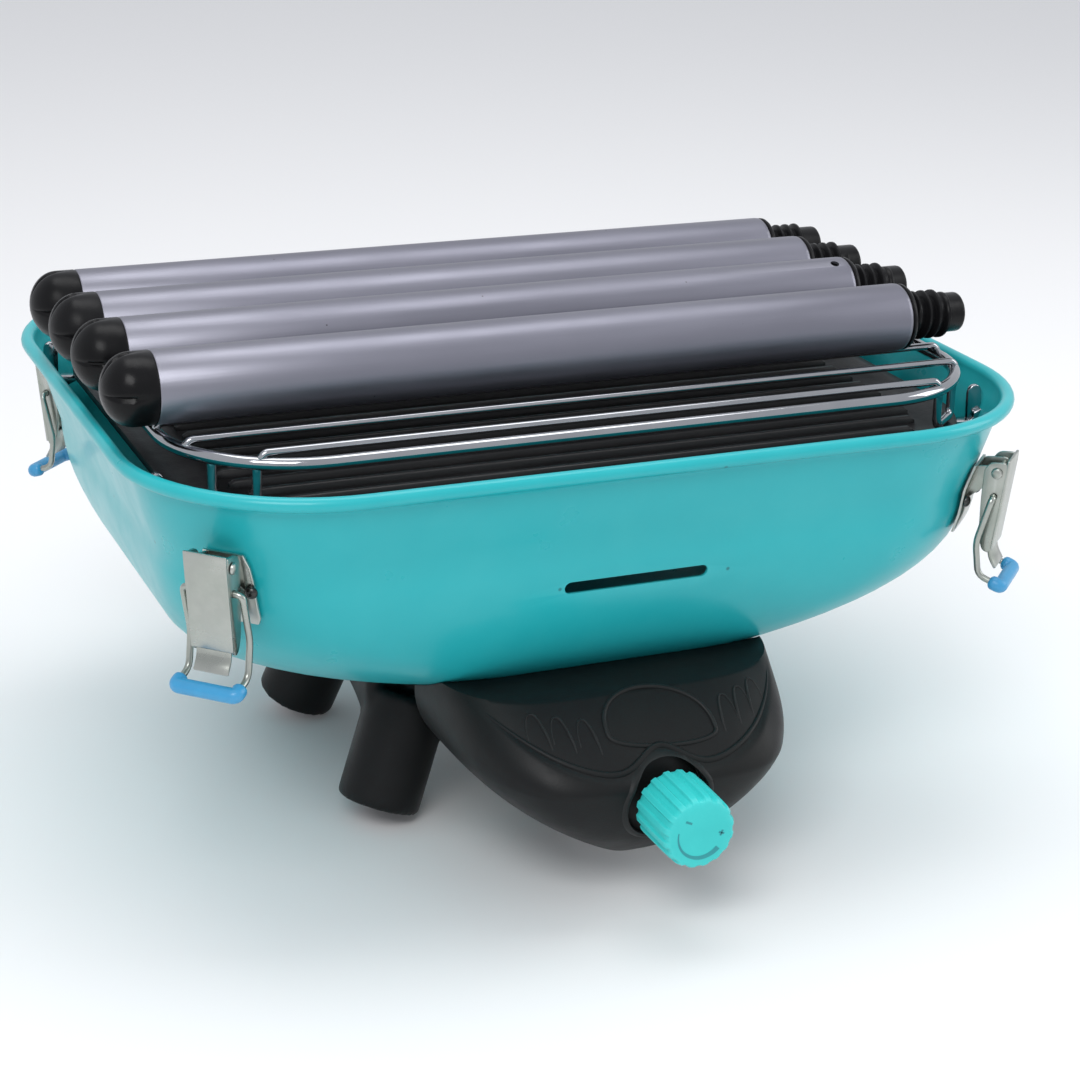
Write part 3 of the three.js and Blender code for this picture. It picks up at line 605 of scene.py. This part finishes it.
# where the small hole near each tube's right end is, in degrees round the tube from its front
PIN_HOLE_TURN = (200, 160, 21, 185)
PIN_HOLE_R = 2.2
PIN_HOLE_FROM_END = 8
for index, leg_y in enumerate(LEG_Y):
    number = index + 1
    roll = LEG_ROLL * index

    def lying(x, y, z, leg_y=leg_y):
        return at(z, leg_y + y, LEG_Z + x)

    wall = [(BORE_R, LEFT), (15.7, LEFT), (TUBE_R, LEFT + 0.5), (TUBE_R, LEFT + 90)]
    wall += [(TUBE_R, RIGHT - 90), (TUBE_R, RIGHT - 2.2), (15.8, RIGHT - 0.8), (15.1, RIGHT)]
    rings = [circle(r, z, 72) for r, z in wall + [(BORE_R, RIGHT)]]
    tube = loft(f"leg_{number}_sheath", rings, 40, lying, closed=True)
    lean = math.radians(PIN_HOLE_TURN[index])

    def on_side(x, y, z, lean=lean, lying=lying):
        across = z * math.cos(lean) - y * math.sin(lean)
        outwards = -z * math.sin(lean) - y * math.cos(lean)
        return lying(across, outwards, RIGHT - PIN_HOLE_FROM_END + x)

    drill = [(0, 12), (PIN_HOLE_R, 12), (PIN_HOLE_R, 20), (0, 20)]
    cut(tube, turned("pin_hole", drill, 24, on_side))
    smooth(tube, 40)
    finish_piece(tube, tube_metal, "tube", f"leg_{number}", f"leg_{number}_tube")

    dome = [(0, LEG_TIP_X)]
    for k in range(1, 12):
        a = math.pi / 2 * k / 12
        dome.append((TUBE_R * math.sin(a), LEFT - CAP_STRAIGHT - CAP_DOME * math.cos(a)))
    dome += [(TUBE_R, LEFT - CAP_STRAIGHT), (TUBE_R, LEFT - 5), (TUBE_R, LEFT - 0.8)]
    dome += [(15.7, LEFT - 0.2), (PLUG_R, LEFT - 0.2), (PLUG_R, LEFT + 14), (0, LEFT + 14)]
    rings = []
    for row, (r, z) in enumerate(dome):
        dip_share = CAP_GROOVE[row] if row < len(CAP_GROOVE) else 0.0
        ring = []
        for k in range(96):
            a = math.tau * k / 96 + roll
            groove = max(0.0, math.cos(4 * a)) ** 30
            wide = max(r, 1e-3) * (1 - dip_share * groove)
            ring.append((wide * math.cos(a), wide * math.sin(a), z))
        rings.append(ring)
    cap = loft(f"leg_{number}_rubber_cap", rings, 38, lying)
    finish_piece(cap, rubber, "black_plastic", f"leg_{number}", f"leg_{number}_foot_cap")

    core = [(0, RIGHT - 14), (PLUG_R, RIGHT - 14), (PLUG_R, RIGHT + 0.3), (15.2, RIGHT + 0.3)]
    core += [(15.7, RIGHT + 0.8), (15.6, RIGHT + 1.8), (14.8, RIGHT + 2.8), (13.4, SHOULDER_END)]
    core += [(CORE_R + 0.4, SHOULDER_END + 0.2), (CORE_R, SHOULDER_END + 0.8), (CORE_R, 195.4)]
    core += [(9.2, 196.3), (8.6, 196.8), (7.6, 197), (6.4, 196.9), (6.0, 196.2), (0, 196.0)]
    plug = turned("core", core, 64, lying)
    rings = []
    for k in range(THREAD_STEPS + 1):
        share = k / THREAD_STEPS
        a = math.tau * THREAD_TURNS * share + roll
        fade = min(1.0, share * 7, (1 - share) * 7)
        crest = lerp(CORE_R - 0.2, CREST_R, fade)
        shoulder = lerp(CORE_R - 0.2, crest, 0.6)
        z = SHOULDER_END + 1.8 + THREAD_PITCH * THREAD_TURNS * share
        section = ((CORE_R - 0.6, -2.0), (shoulder, -1.2), (crest, -0.5), (crest, 0.5))
        section += ((shoulder, 1.2), (CORE_R - 0.6, 2.0))
        rings.append([(r * math.cos(a), r * math.sin(a), z + dz) for r, dz in section])
    thread = loft("thread", rings, 60, lying)
    obj = joined(f"leg_{number}_screw_plug", [plug, thread])
    finish_piece(obj, rubber, "black_plastic", f"leg_{number}", f"leg_{number}_plug")

# ---- toggle latches: u is out of the corner, t runs round it ----
LATCH_SHEET = 1.4
LATCH_DROP = 2
DIAGONAL = math.sqrt(0.5)
STRAP_GAP = 0.7
EAR_T = 7.34
CHEEK_T = 9.3
BAIL_T = 14
RIVET_T = 11.2
RIVET_DEPTH = 41
FACE_HALF = 10
TONGUE_HALF = 8.2
BAIL_WIRE_R = 1.5
GRIP_R = 3.4
# (u, z) of the lever's pivot and of the holes in which the bail swings, and their radius
PIVOT = (1.8, -26)
BAIL_HOLE = (1.2, -37.5)
HOLE_R = 1.8


def corner_wall(depth):
    """the bowl's outside on the corner's diagonal, measured out from the rim line"""
    inset = wall_inset(depth + LATCH_DROP)
    radius = corner_radius(inset)
    here = (RIM_X + RIM_Y - 2 * inset - 2 * radius) * DIAGONAL + radius
    return here - (RIM_X + RIM_Y - 2 * RIM_R) * DIAGONAL - RIM_R


def offset_path(path, thickness):
    """a strip of sheet along a path in the x-z plane, as one closed outline"""
    path = [Vector((x, z)) for x, z in path]
    near, far = [], []
    for i, p in enumerate(path):
        before = path[max(i - 1, 0)]
        after = path[min(i + 1, len(path) - 1)]
        along = (after - before).normalized()
        across = Vector((along.y, -along.x)) * thickness / 2
        near.append(tuple(p + across))
        far.append(tuple(p - across))
    return near + far[::-1]


def soft(points, closed=False):
    """an outline or a path in the x-z plane with its corners rounded"""
    path = rounded([(x, z, 0) for x, z in points], 3.0, 4, closed)
    return [(p.x, p.y) for p in path]


CHEEK = soft([(6.3, -20.6), (-1.5, -21.2), (-4.3, -24.5), (-4.7, -40), (-4.4, -58), (-2.2, -64.5),
              (0.8, -65.6), (1.9, -63), (6.2, -24.5)], closed=True)
FACE_PATH = [(6.75, -19.6), (6.5, -24), (4.3, -43.8), (2.05, -63.6)]
TONGUE_PATH = soft([(0.9, -60), (0.7, -64.5), (1.6, -68.6), (4.4, -73.3)])


for corner, sx, sy in CORNERS:
    turn = Matrix.Rotation(math.atan2(sy, sx), 3, "Z")
    inwards = RIM_R * (1 - DIAGONAL)
    spot = Vector((sx * (RIM_X - inwards), sy * (RIM_Y - inwards), -LATCH_DROP))

    def local(x, y, z, turn=turn, spot=spot):
        return at(*(spot + turn @ Vector((x, y, z))))

    lever_body = f"latch_{corner}_lever_body"
    bail_body = f"latch_{corner}_bail_body"

    rings = []
    for depth in (24, 30, 36, 42, 48, 54, 57):
        half = lerp(11, 13.5, (depth - 24) / 33) - (1.6 if depth in (24, 57) else 0)
        near = corner_wall(depth) + STRAP_GAP
        far = corner_wall(depth) + STRAP_GAP + LATCH_SHEET
        section = [(near, -half), (near, half), (far - 0.4, half), (far, half - 0.5)]
        section += [(far, -half + 0.5), (far - 0.4, -half)]
        rings.append([(u, t, -depth) for u, t in section])
    pieces = [loft("strap", rings, 50, local)]
    ear = [(corner_wall(25) + 1.2, -25), (corner_wall(25) + 3.4, -24), (1.2, -23.0), (3.2, -23.4)]
    ear += [(4.6, -25), (4.6, -27), (3.4, -28.8), (1.8, -29.2), (corner_wall(42) + 1.2, -42)]
    for side in (-1, 1):
        y = side * EAR_T
        pieces.append(plate("ear", ear, y - 0.7, y + 0.7, local, 0.3))
    obj = joined(f"latch_{corner}_strap", pieces)
    finish_piece(obj, zinc, "zinc", "base", f"latch_{corner}_base")

    slope = math.atan2(corner_wall(RIVET_DEPTH) - corner_wall(RIVET_DEPTH + 8), 8)
    for letter, side in (("a", -1), ("b", 1)):
        face = Vector((corner_wall(RIVET_DEPTH) + 2.4, side * RIVET_T, -RIVET_DEPTH))
        tilt = Matrix.Rotation(math.pi / 2 + slope, 3, "Y")

        def on_strap(x, y, z, face=face, tilt=tilt, local=local):
            return local(*(face + tilt @ Vector((x, y, z))))

        head = [(0, 0), (2.8, 0), (3.0, 0.5), (2.8, 1.3), (2.1, 2.1), (1.2, 2.5), (0.8, 2.2)]
        head.append((0, 2.1))
        obj = turned(f"latch_{corner}_rivet_head_{letter}", head, 24, on_strap)
        finish_piece(obj, dark_steel, "zinc", "base", f"latch_{corner}_rivet_{letter}")

    pieces = []
    for name, path, half in (("face", FACE_PATH, FACE_HALF), ("tongue", TONGUE_PATH, TONGUE_HALF)):
        pieces.append(plate(name, offset_path(path, LATCH_SHEET), -half, half, local, 0.45))
    # the cheeks are drilled before joining: a cut through the joined handle drops the tongue
    for side in (-1, 1):
        y = side * CHEEK_T
        wing = plate("cheek", CHEEK, y - 0.7, y + 0.7, local, 0.3)
        for x, z in (PIVOT, BAIL_HOLE):
            drill = turned("drill", [(0, -20), (HOLE_R, -20), (HOLE_R, 20), (0, 20)], 20,
                           lambda a, b, c, x=x, z=z, f=local: f(x + a, c, z + b))
            cut(wing, drill)
        pieces.append(wing)
    obj = joined(f"latch_{corner}_handle", pieces)
    finish_piece(obj, zinc, "zinc", lever_body, f"latch_{corner}_lever")

    pin = [(0, -11.7), (1.4, -11.7), (2.3, -11.3), (2.7, -10.5), (1.5, -10.3)]
    pin = pin + [(r, -y) for r, y in reversed(pin)]
    obj = turned(f"latch_{corner}_pivot", pin, 24,
                 lambda a, b, c, f=local: f(PIVOT[0] + a, c, PIVOT[1] + b))
    finish_piece(obj, zinc, "zinc", lever_body, f"latch_{corner}_pin")

    u, z0 = BAIL_HOLE
    half_bail = [(u, 7.7, z0), (u, BAIL_T, z0), (u - 5.6, BAIL_T, z0 - 22)]
    half_bail += [(u - 3.4, BAIL_T, z0 - 38), (u + 7.6, BAIL_T, z0 - 42)]
    wire = rounded(half_bail + [(x, -y, z) for x, y, z in reversed(half_bail)], 4.0, 6)
    obj = sweep(f"latch_{corner}_loop", wire, BAIL_WIRE_R, 12, place=local)
    finish_piece(obj, zinc, "zinc", bail_body, f"latch_{corner}_bail")

    half_grip = [(u + 4.2, BAIL_T, z0 - 40.8), (u + 7.6, BAIL_T, z0 - 42)]
    grip = rounded(half_grip + [(x, -y, z) for x, y, z in reversed(half_grip)], 3.4, 6)
    obj = sweep(f"latch_{corner}_grip", grip, GRIP_R, 16, place=local)
    finish_piece(obj, dip, "sleeve", bail_body, f"latch_{corner}_sleeve")

# ---- chassis ----
SPLAY = Vector((0.38, 0.17, -1)).normalized()
SOCKET = Vector((89, 66, -193.5))
UPWARDS = Vector((0, 0, 1))
VOXEL = 1.6
# the socket from its closed end to its mouth, and the stepped bore behind the mouth
BARREL = [(0, -56), (19, -56), (20, -54), (20, -2), (19.2, -0.2), (19, 0), (0, 0)]
BORE = [(0, -44), (12, -44), (12, -22.4), (16.7, -22), (16.7, -1.2), (17.6, 0.4), (17.6, 5), (0, 5)]


def socket_place(sx, sy):
    """a socket's direction, the middle of its mouth, and the placing of a shape turned about it"""
    along = Vector((sx * SPLAY.x, sy * SPLAY.y, SPLAY.z))
    mouth = Vector((sx * SOCKET.x, sy * SOCKET.y, SOCKET.z))
    rotation = UPWARDS.rotation_difference(along).to_matrix()

    def place(x, y, z):
        return at(*(mouth + rotation @ Vector((x, y, z))))

    return along, mouth, place


hub_rows = ((1, -136), (0, -135), (0, -100), (0, -99))
hub = loft("hub", [plan(62 - i, 48 - i, 20, z) for i, z in hub_rows])
for _, sx, sy in CORNERS:
    along, mouth, place = socket_place(sx, sy)
    cut(hub, turned("barrel", BARREL, 48, place), "UNION")
    top = mouth - along * 44
    inner = Vector((sx * 22, sy * 14, -128))
    rings = []
    for k in range(13):
        t = k / 12
        p = inner.lerp(top, t)
        wide = lerp(20, 17, t) + 6 * (1 - math.sin(math.pi * t))
        tall = lerp(9, 16, t) + 3 * t * t
        across = UPWARDS.cross(top - inner).normalized()
        rings.append([tuple(p + across * wide * math.cos(a) + UPWARDS * tall * math.sin(a))
                      for a in [math.tau * j / 24 for j in range(24)]])
    cut(hub, loft("arm", rings), "UNION")
# a web on each side joins the front and the back socket
WEB_TOP = -120
for side in (-1, 1):
    rings = []
    for k in range(33):
        t = abs(k / 16 - 1)
        y = lerp(-60, 60, k / 32)
        low = -146 - 24 * t**3.2
        middle, half = (low + WEB_TOP) / 2, (WEB_TOP - low) / 2
        ring = []
        for j in range(24):
            c, s = math.cos(math.tau * j / 24), math.sin(math.tau * j / 24)
            x = side * (80 + 12 * math.copysign(abs(c) ** 0.6, c))
            ring.append((x, y, middle + half * math.copysign(abs(s) ** 0.6, s)))
        rings.append(ring)
    cut(hub, loft("web", rings), "UNION")
# melts the joined shapes into one moulding, as if with fillets
modified(hub, "REMESH", mode="VOXEL", voxel_size=VOXEL * MM)
modified(hub, "SMOOTH", factor=0.5, iterations=6)
cut(hub, bowl_solid(GAP))
for _, sx, sy in CORNERS:
    cut(hub, turned("bore", BORE, 48, socket_place(sx, sy)[2]))
smooth(hub, 40)
hub.name = "chassis_moulding"
finish_piece(hub, black, "black_plastic", "base", "chassis")

# ---- control housing ----
HOUSING_X = 82
HOUSING_Y = -76
HOUSING_TOP = -107
HOUSING_LOW = -190.4
HOUSING_BACK = -98
HOUSING_SHEET = 3
REACH = 122
# below the shoulder the width narrows; above LEAN_Z the face leans back under the bowl
SHOULDER = -121
DROP = 74.8
LEAN_Z = -138
LEAN = 0.44
LEAN_RISE = 42
STEP_DEPTH = 2.6
KNOB_Z = -146
WELL_R = 19.2


def housing_section(z):
    """half width and forward reach of the housing at a height"""
    drop = max(0.0, (SHOULDER - z) / DROP)
    narrowing = (1 - drop**2.1) ** 1.25
    lean = max(0.0, (z - LEAN_Z) / LEAN_RISE)
    return HOUSING_X * narrowing, REACH * narrowing**0.2 * (1 - LEAN * lean**1.3)


def ridge_height(x):
    """the height of the curved ridge across the face"""
    return -134.5 + 17 * (abs(x) / 62) ** 2.4 + 9.5 * math.exp(-((x / 14) ** 2))


def step_out(x, z):
    """how far the lower part of the face stands out in front of the upper part"""
    run = min(max((ridge_height(x) + 1.0 - z) / 3.0, 0.0), 1.0)
    side = min(max((78 - abs(x)) / 24, 0.0), 1.0)
    low = min(max((z + 186) / 20, 0.0), 1.0)
    return STEP_DEPTH * run * run * (3 - 2 * run) * side * low


def housing_form(inset):
    """the housing as a solid, or the space inside it when inset is its sheet's thickness"""
    steps, count = 90, 220
    rings = []
    for i in range(steps + 1):
        z = lerp(HOUSING_TOP - inset, HOUSING_LOW + inset, i / steps)
        half, reach = housing_section(z)
        ring = []
        for k in range(count):
            c, s = math.cos(math.tau * k / count), math.sin(math.tau * k / count)
            x = (half - inset) * math.copysign(math.sqrt(abs(c)), c)
            y = (reach - inset) * math.copysign(math.sqrt(abs(s)), s)
            if s < -0.05 and inset == 0:
                y -= step_out(x, z)
            ring.append((x, HOUSING_Y + y, z))
        rings.append(ring)
    return loft("housing", rings)


def front_of(x, z):
    """the housing's front face at a place seen from the front"""
    half, reach = housing_section(z)
    share = min(abs(x) / half, 0.999)
    return HOUSING_Y - reach * (1 - share**4) ** 0.25 - step_out(x, z)


shell = housing_form(0)
cut(shell, bowl_solid(GAP))
box = [(x, y, z) for x in (-300, 300) for y in (HOUSING_BACK, 200) for z in (-300, 100)]
box_faces = [(0, 1, 3, 2), (4, 6, 7, 5), (0, 4, 5, 1), (2, 3, 7, 6), (0, 2, 6, 4), (1, 5, 7, 3)]
cut(shell, build("behind", box, box_faces))
cut(shell, housing_form(HOUSING_SHEET))


def facing(x, y, z):
    """a turned shape about the knob's axis, its own z pointing to the back"""
    return at(x, z, KNOB_Z + y)


well_cut = [(0, -230), (WELL_R, -230), (WELL_R, -160), (0, -160)]
cut(shell, turned("knob_well", well_cut, 64, facing))
smooth(shell, 35)
pieces = [shell]
well = [(4.2, -189), (18.3, -189), (19.0, -188.4), (19.6, -189), (19.6, -184), (4.2, -184)]
pieces.append(turned("well_floor", well, 64, facing))
rings = []
for grow, back in ((19.1, 0.0), (19.3, 0.7), (20.1, 1.1), (21.1, 0.9), (22.2, -0.4), (19.4, -3.0)):
    ring = []
    for k in range(96):
        a = math.tau * k / 96
        x, z = grow * math.cos(a), grow * math.sin(a)
        ring.append((x, front_of(x, KNOB_Z + z) - back, KNOB_Z + z))
    rings.append(ring)
pieces.append(loft("well_lip", rings, 60, closed=True))
# raised marks, each sunk a little into the face: a plain oval, a few bows and the ridge
MEDAL_X = 4
MEDAL_Z = -120
BOW_Z = -124
MARK_SINK = 0.3
medal = []
for k in range(72):
    a = math.tau * k / 72
    c, s = math.cos(a), math.sin(a)
    x = MEDAL_X + 25.5 * c
    z = MEDAL_Z + (13.4 if s > 0 else 4.6) * math.copysign(abs(s) ** 0.8, s) - 1.5 * c
    medal.append((x, front_of(x, z) + MARK_SINK, z))
pieces.append(sweep("medal", medal, 1.15, 10, closed=True))
# the bows: where each one stands and which way its thick end points
for start, side in ((38, 1), (47, 1), (55, 1), (-31, -1), (-42, -1), (-52, -1)):
    bow = []
    for k in range(25):
        share = k / 24
        a = math.pi * share
        x = start - side * 4.2 * math.cos(a)
        droop = (4.5 if share < 0.5 else 1.5) * abs(math.cos(a)) ** 3
        z = BOW_Z + abs(start) * 0.13 + 6.5 * math.sin(a) ** 0.8 - droop
        bow.append((x, front_of(x, z) + MARK_SINK, z))
    pieces.append(sweep("bow", bow, lambda t: 0.35 + 0.6 * (1 - t) * min(1.0, 6 * t), 8))
ridge = []
for k in range(97):
    x = lerp(-70, 70, k / 96)
    z = ridge_height(x) + 0.6
    ridge.append((x, front_of(x, z) + 0.9, z))
pieces.append(sweep("ridge", ridge, lambda t: 0.4 + 1.5 * math.sin(math.pi * t) ** 0.5, 16))
obj = joined("housing_shell", pieces)
finish_piece(obj, black, "black_plastic", "base", "control_housing")

# ---- knob ----
FLUTES = 16
FLUTE_DEPTH = 1.25
KNOB_R = 17
KNOB_DEPTH = 31


def on_knob(x, y, z):
    """about the knob's axis, with z from the knob's back out to its face"""
    return at(x, KNOB_FACE_Y + KNOB_DEPTH - z, KNOB_Z + y)


def on_face(x, y, z):
    """a plate lying on the knob's face"""
    return on_knob(x, z, y)


# the knob's outline: distance from its back, how far it is drawn in, and the share of the flutes
outline = ((0, 1.2, 0.4), (0.8, 0.3, 0.9), (2, 0, 1), (20, 0.1, 0.9), (27.6, 0.3, 0.8))
outline += ((29.6, 0.8, 0.6), (30.6, 1.6, 0.35), (KNOB_DEPTH, 2.8, 0), (KNOB_DEPTH, 6, 0))
rings = []
for depth, shrink, flute in outline + ((KNOB_DEPTH, 12, 0),):
    ring = []
    for k in range(256):
        a = math.tau * k / 256
        groove = min(max(math.cos(FLUTES * a) * 2.2 + 0.6, 0.0), 1.0)
        r = KNOB_R - shrink - FLUTE_DEPTH * flute * groove
        ring.append((r * math.cos(a), r * math.sin(a), depth))
    rings.append(ring)
knob = loft("knob_grip", rings, 30, on_knob)
finish_piece(knob, knob_look, "knob_plastic", "knob", "knob")
# a minus and a plus, as bars in painted groove shade: where each stands (degrees, radius), its tilt
# and its half size
MARK_LOW = 30.8
BARS = ((133, 9.0, -25, 1.6, 0.5), (-4, 9.6, -20, 1.35, 0.45), (-4, 9.6, 70, 1.35, 0.45))
marks = []
for turn, out, tilt, dx, dy in BARS:
    c, s = math.cos(math.radians(tilt)), math.sin(math.radians(tilt))
    cx, cy = out * math.cos(math.radians(turn)), out * math.sin(math.radians(turn))
    bar = [(-dx, -dy), (dx, -dy), (dx, dy), (-dx, dy)]
    bar = [(cx + c * x - s * y, cy + s * x + c * y) for x, y in bar]
    marks.append(plate("groove_shade", bar, MARK_LOW, 31.15, on_face, 0.08))
# a tapered arc, in painted groove shade
arc = []
for side in (-1, 1):
    for k in range(25):
        share = k / 24 if side < 0 else 1 - k / 24
        a = math.radians(lerp(168, 318, share))
        r = 10.9 + side * (0.25 + 0.95 * share)
        arc.append((r * math.cos(a), r * math.sin(a)))
marks.append(plate("arc", arc, MARK_LOW, 31.1, on_face, 0.0))
finish_piece(joined("knob_marks", marks), groove_shade, "knob_plastic", "knob")

# ---- bolts under the hub ----
BOLT = (18, 36, -129.9)
for corner, sx, sy in CORNERS:
    def under(x, y, z, sx=sx, sy=sy):
        return at(sx * BOLT[0] + x, sy * BOLT[1] + y, BOLT[2] + z)

    head = [circle(r, z, 6) for z, r in ((-10.6, 4.4), (-10.2, 5.0), (-6.7, 5.0), (-6.4, 4.7))]
    hexagon = loft("hexagon", head, 30, under)
    shank = turned("shank", [(0, -6.6), (2.5, -6.6), (2.5, 5.2), (1.9, 6), (0, 6)], 24, under)
    obj = joined(f"hub_bolt_{corner}", [hexagon, shank])
    finish_piece(obj, zinc, "zinc", "base", f"chassis_bolt_{corner}")

# ---- CAD nodes carried over: only their materials change ----
KEPT = ("valve_body", "gas_tube", "burner_base", "burner_cap", "valve_stem")
slots = {part["node"]: part["material_slot"] for part in frame["record"]["subparts"]}
for name in KEPT:
    node = frame["nodes"][name]
    node.data.materials.clear()
    node.data.materials.append(SLOT_LOOKS[slots[name]])
    smooth(node, 35)

# ---- floor, light and camera ----
FLOOR_HALF = 8
square = ((-FLOOR_HALF, -FLOOR_HALF), (FLOOR_HALF, -FLOOR_HALF))
square += ((FLOOR_HALF, FLOOR_HALF), (-FLOOR_HALF, FLOOR_HALF))
ground = bpy.data.meshes.new("floor")
ground.from_pydata([(x, y, 0) for x, y in square], [], [(0, 1, 2, 3)])
floor = bpy.data.objects.new("floor", ground)
bpy.context.scene.collection.objects.link(floor)
pale = bpy.data.materials.new("floor_pale")
pale.use_nodes = True
pale_shader = pale.node_tree.nodes["Principled BSDF"]
pale_shader.inputs["Base Color"].default_value = (0.86, 0.86, 0.86, 1)
pale_shader.inputs["Roughness"].default_value = 0.8
floor.data.materials.append(pale)

world = bpy.data.worlds.new("studio")
bpy.context.scene.world = world
world.use_nodes = True
world.node_tree.nodes["Background"].inputs["Color"].default_value = (0.93, 0.95, 1.0, 1)
world.node_tree.nodes["Background"].inputs["Strength"].default_value = 0.72


def area(name, place, size, power):
    """a rectangular light aimed at the middle of the object; places are in metres"""
    light = bpy.data.lights.new(name, "AREA")
    light.shape = "RECTANGLE"
    light.size, light.size_y = size
    light.energy = power
    obj = bpy.data.objects.new(name, light)
    obj.location = place
    aim = Vector((0, 0, 0.15)) - Vector(place)
    obj.rotation_euler = aim.to_track_quat("-Z", "Y").to_euler()
    bpy.context.scene.collection.objects.link(obj)


area("key", (-0.9, -1.3, 1.6), (1.1, 0.8), 17)
area("top", (0.1, 0.3, 1.9), (1.6, 0.9), 13)
area("side", (1.7, -0.5, 0.9), (0.8, 1.2), 8)

# the camera as fitted to the photo
CAMERA_AT = (-428.6, -1051.3, 333.3)
LENS = 80.96
AZIMUTH = math.radians(-23.12)
ELEVATION = math.radians(20.6)
ROLL = math.radians(1.38)
level = math.cos(ELEVATION)
back = Vector((math.sin(AZIMUTH) * level, -math.cos(AZIMUTH) * level, math.sin(ELEVATION)))
right = (-back).cross(UPWARDS).normalized()
upward = right.cross(-back)
turned_right = right * math.cos(ROLL) + upward * math.sin(ROLL)
turned_up = upward * math.cos(ROLL) - right * math.sin(ROLL)
pose = Matrix((turned_right, turned_up, back)).transposed().to_4x4()
pose.translation = at(*CAMERA_AT)
lens = bpy.data.cameras.new("camera")
lens.sensor_width = 36
lens.lens = LENS
camera = bpy.data.objects.new("camera", lens)
camera.matrix_world = pose
bpy.context.scene.collection.objects.link(camera)
bpy.context.scene.camera = camera
bpy.context.scene.view_settings.view_transform = "Standard"
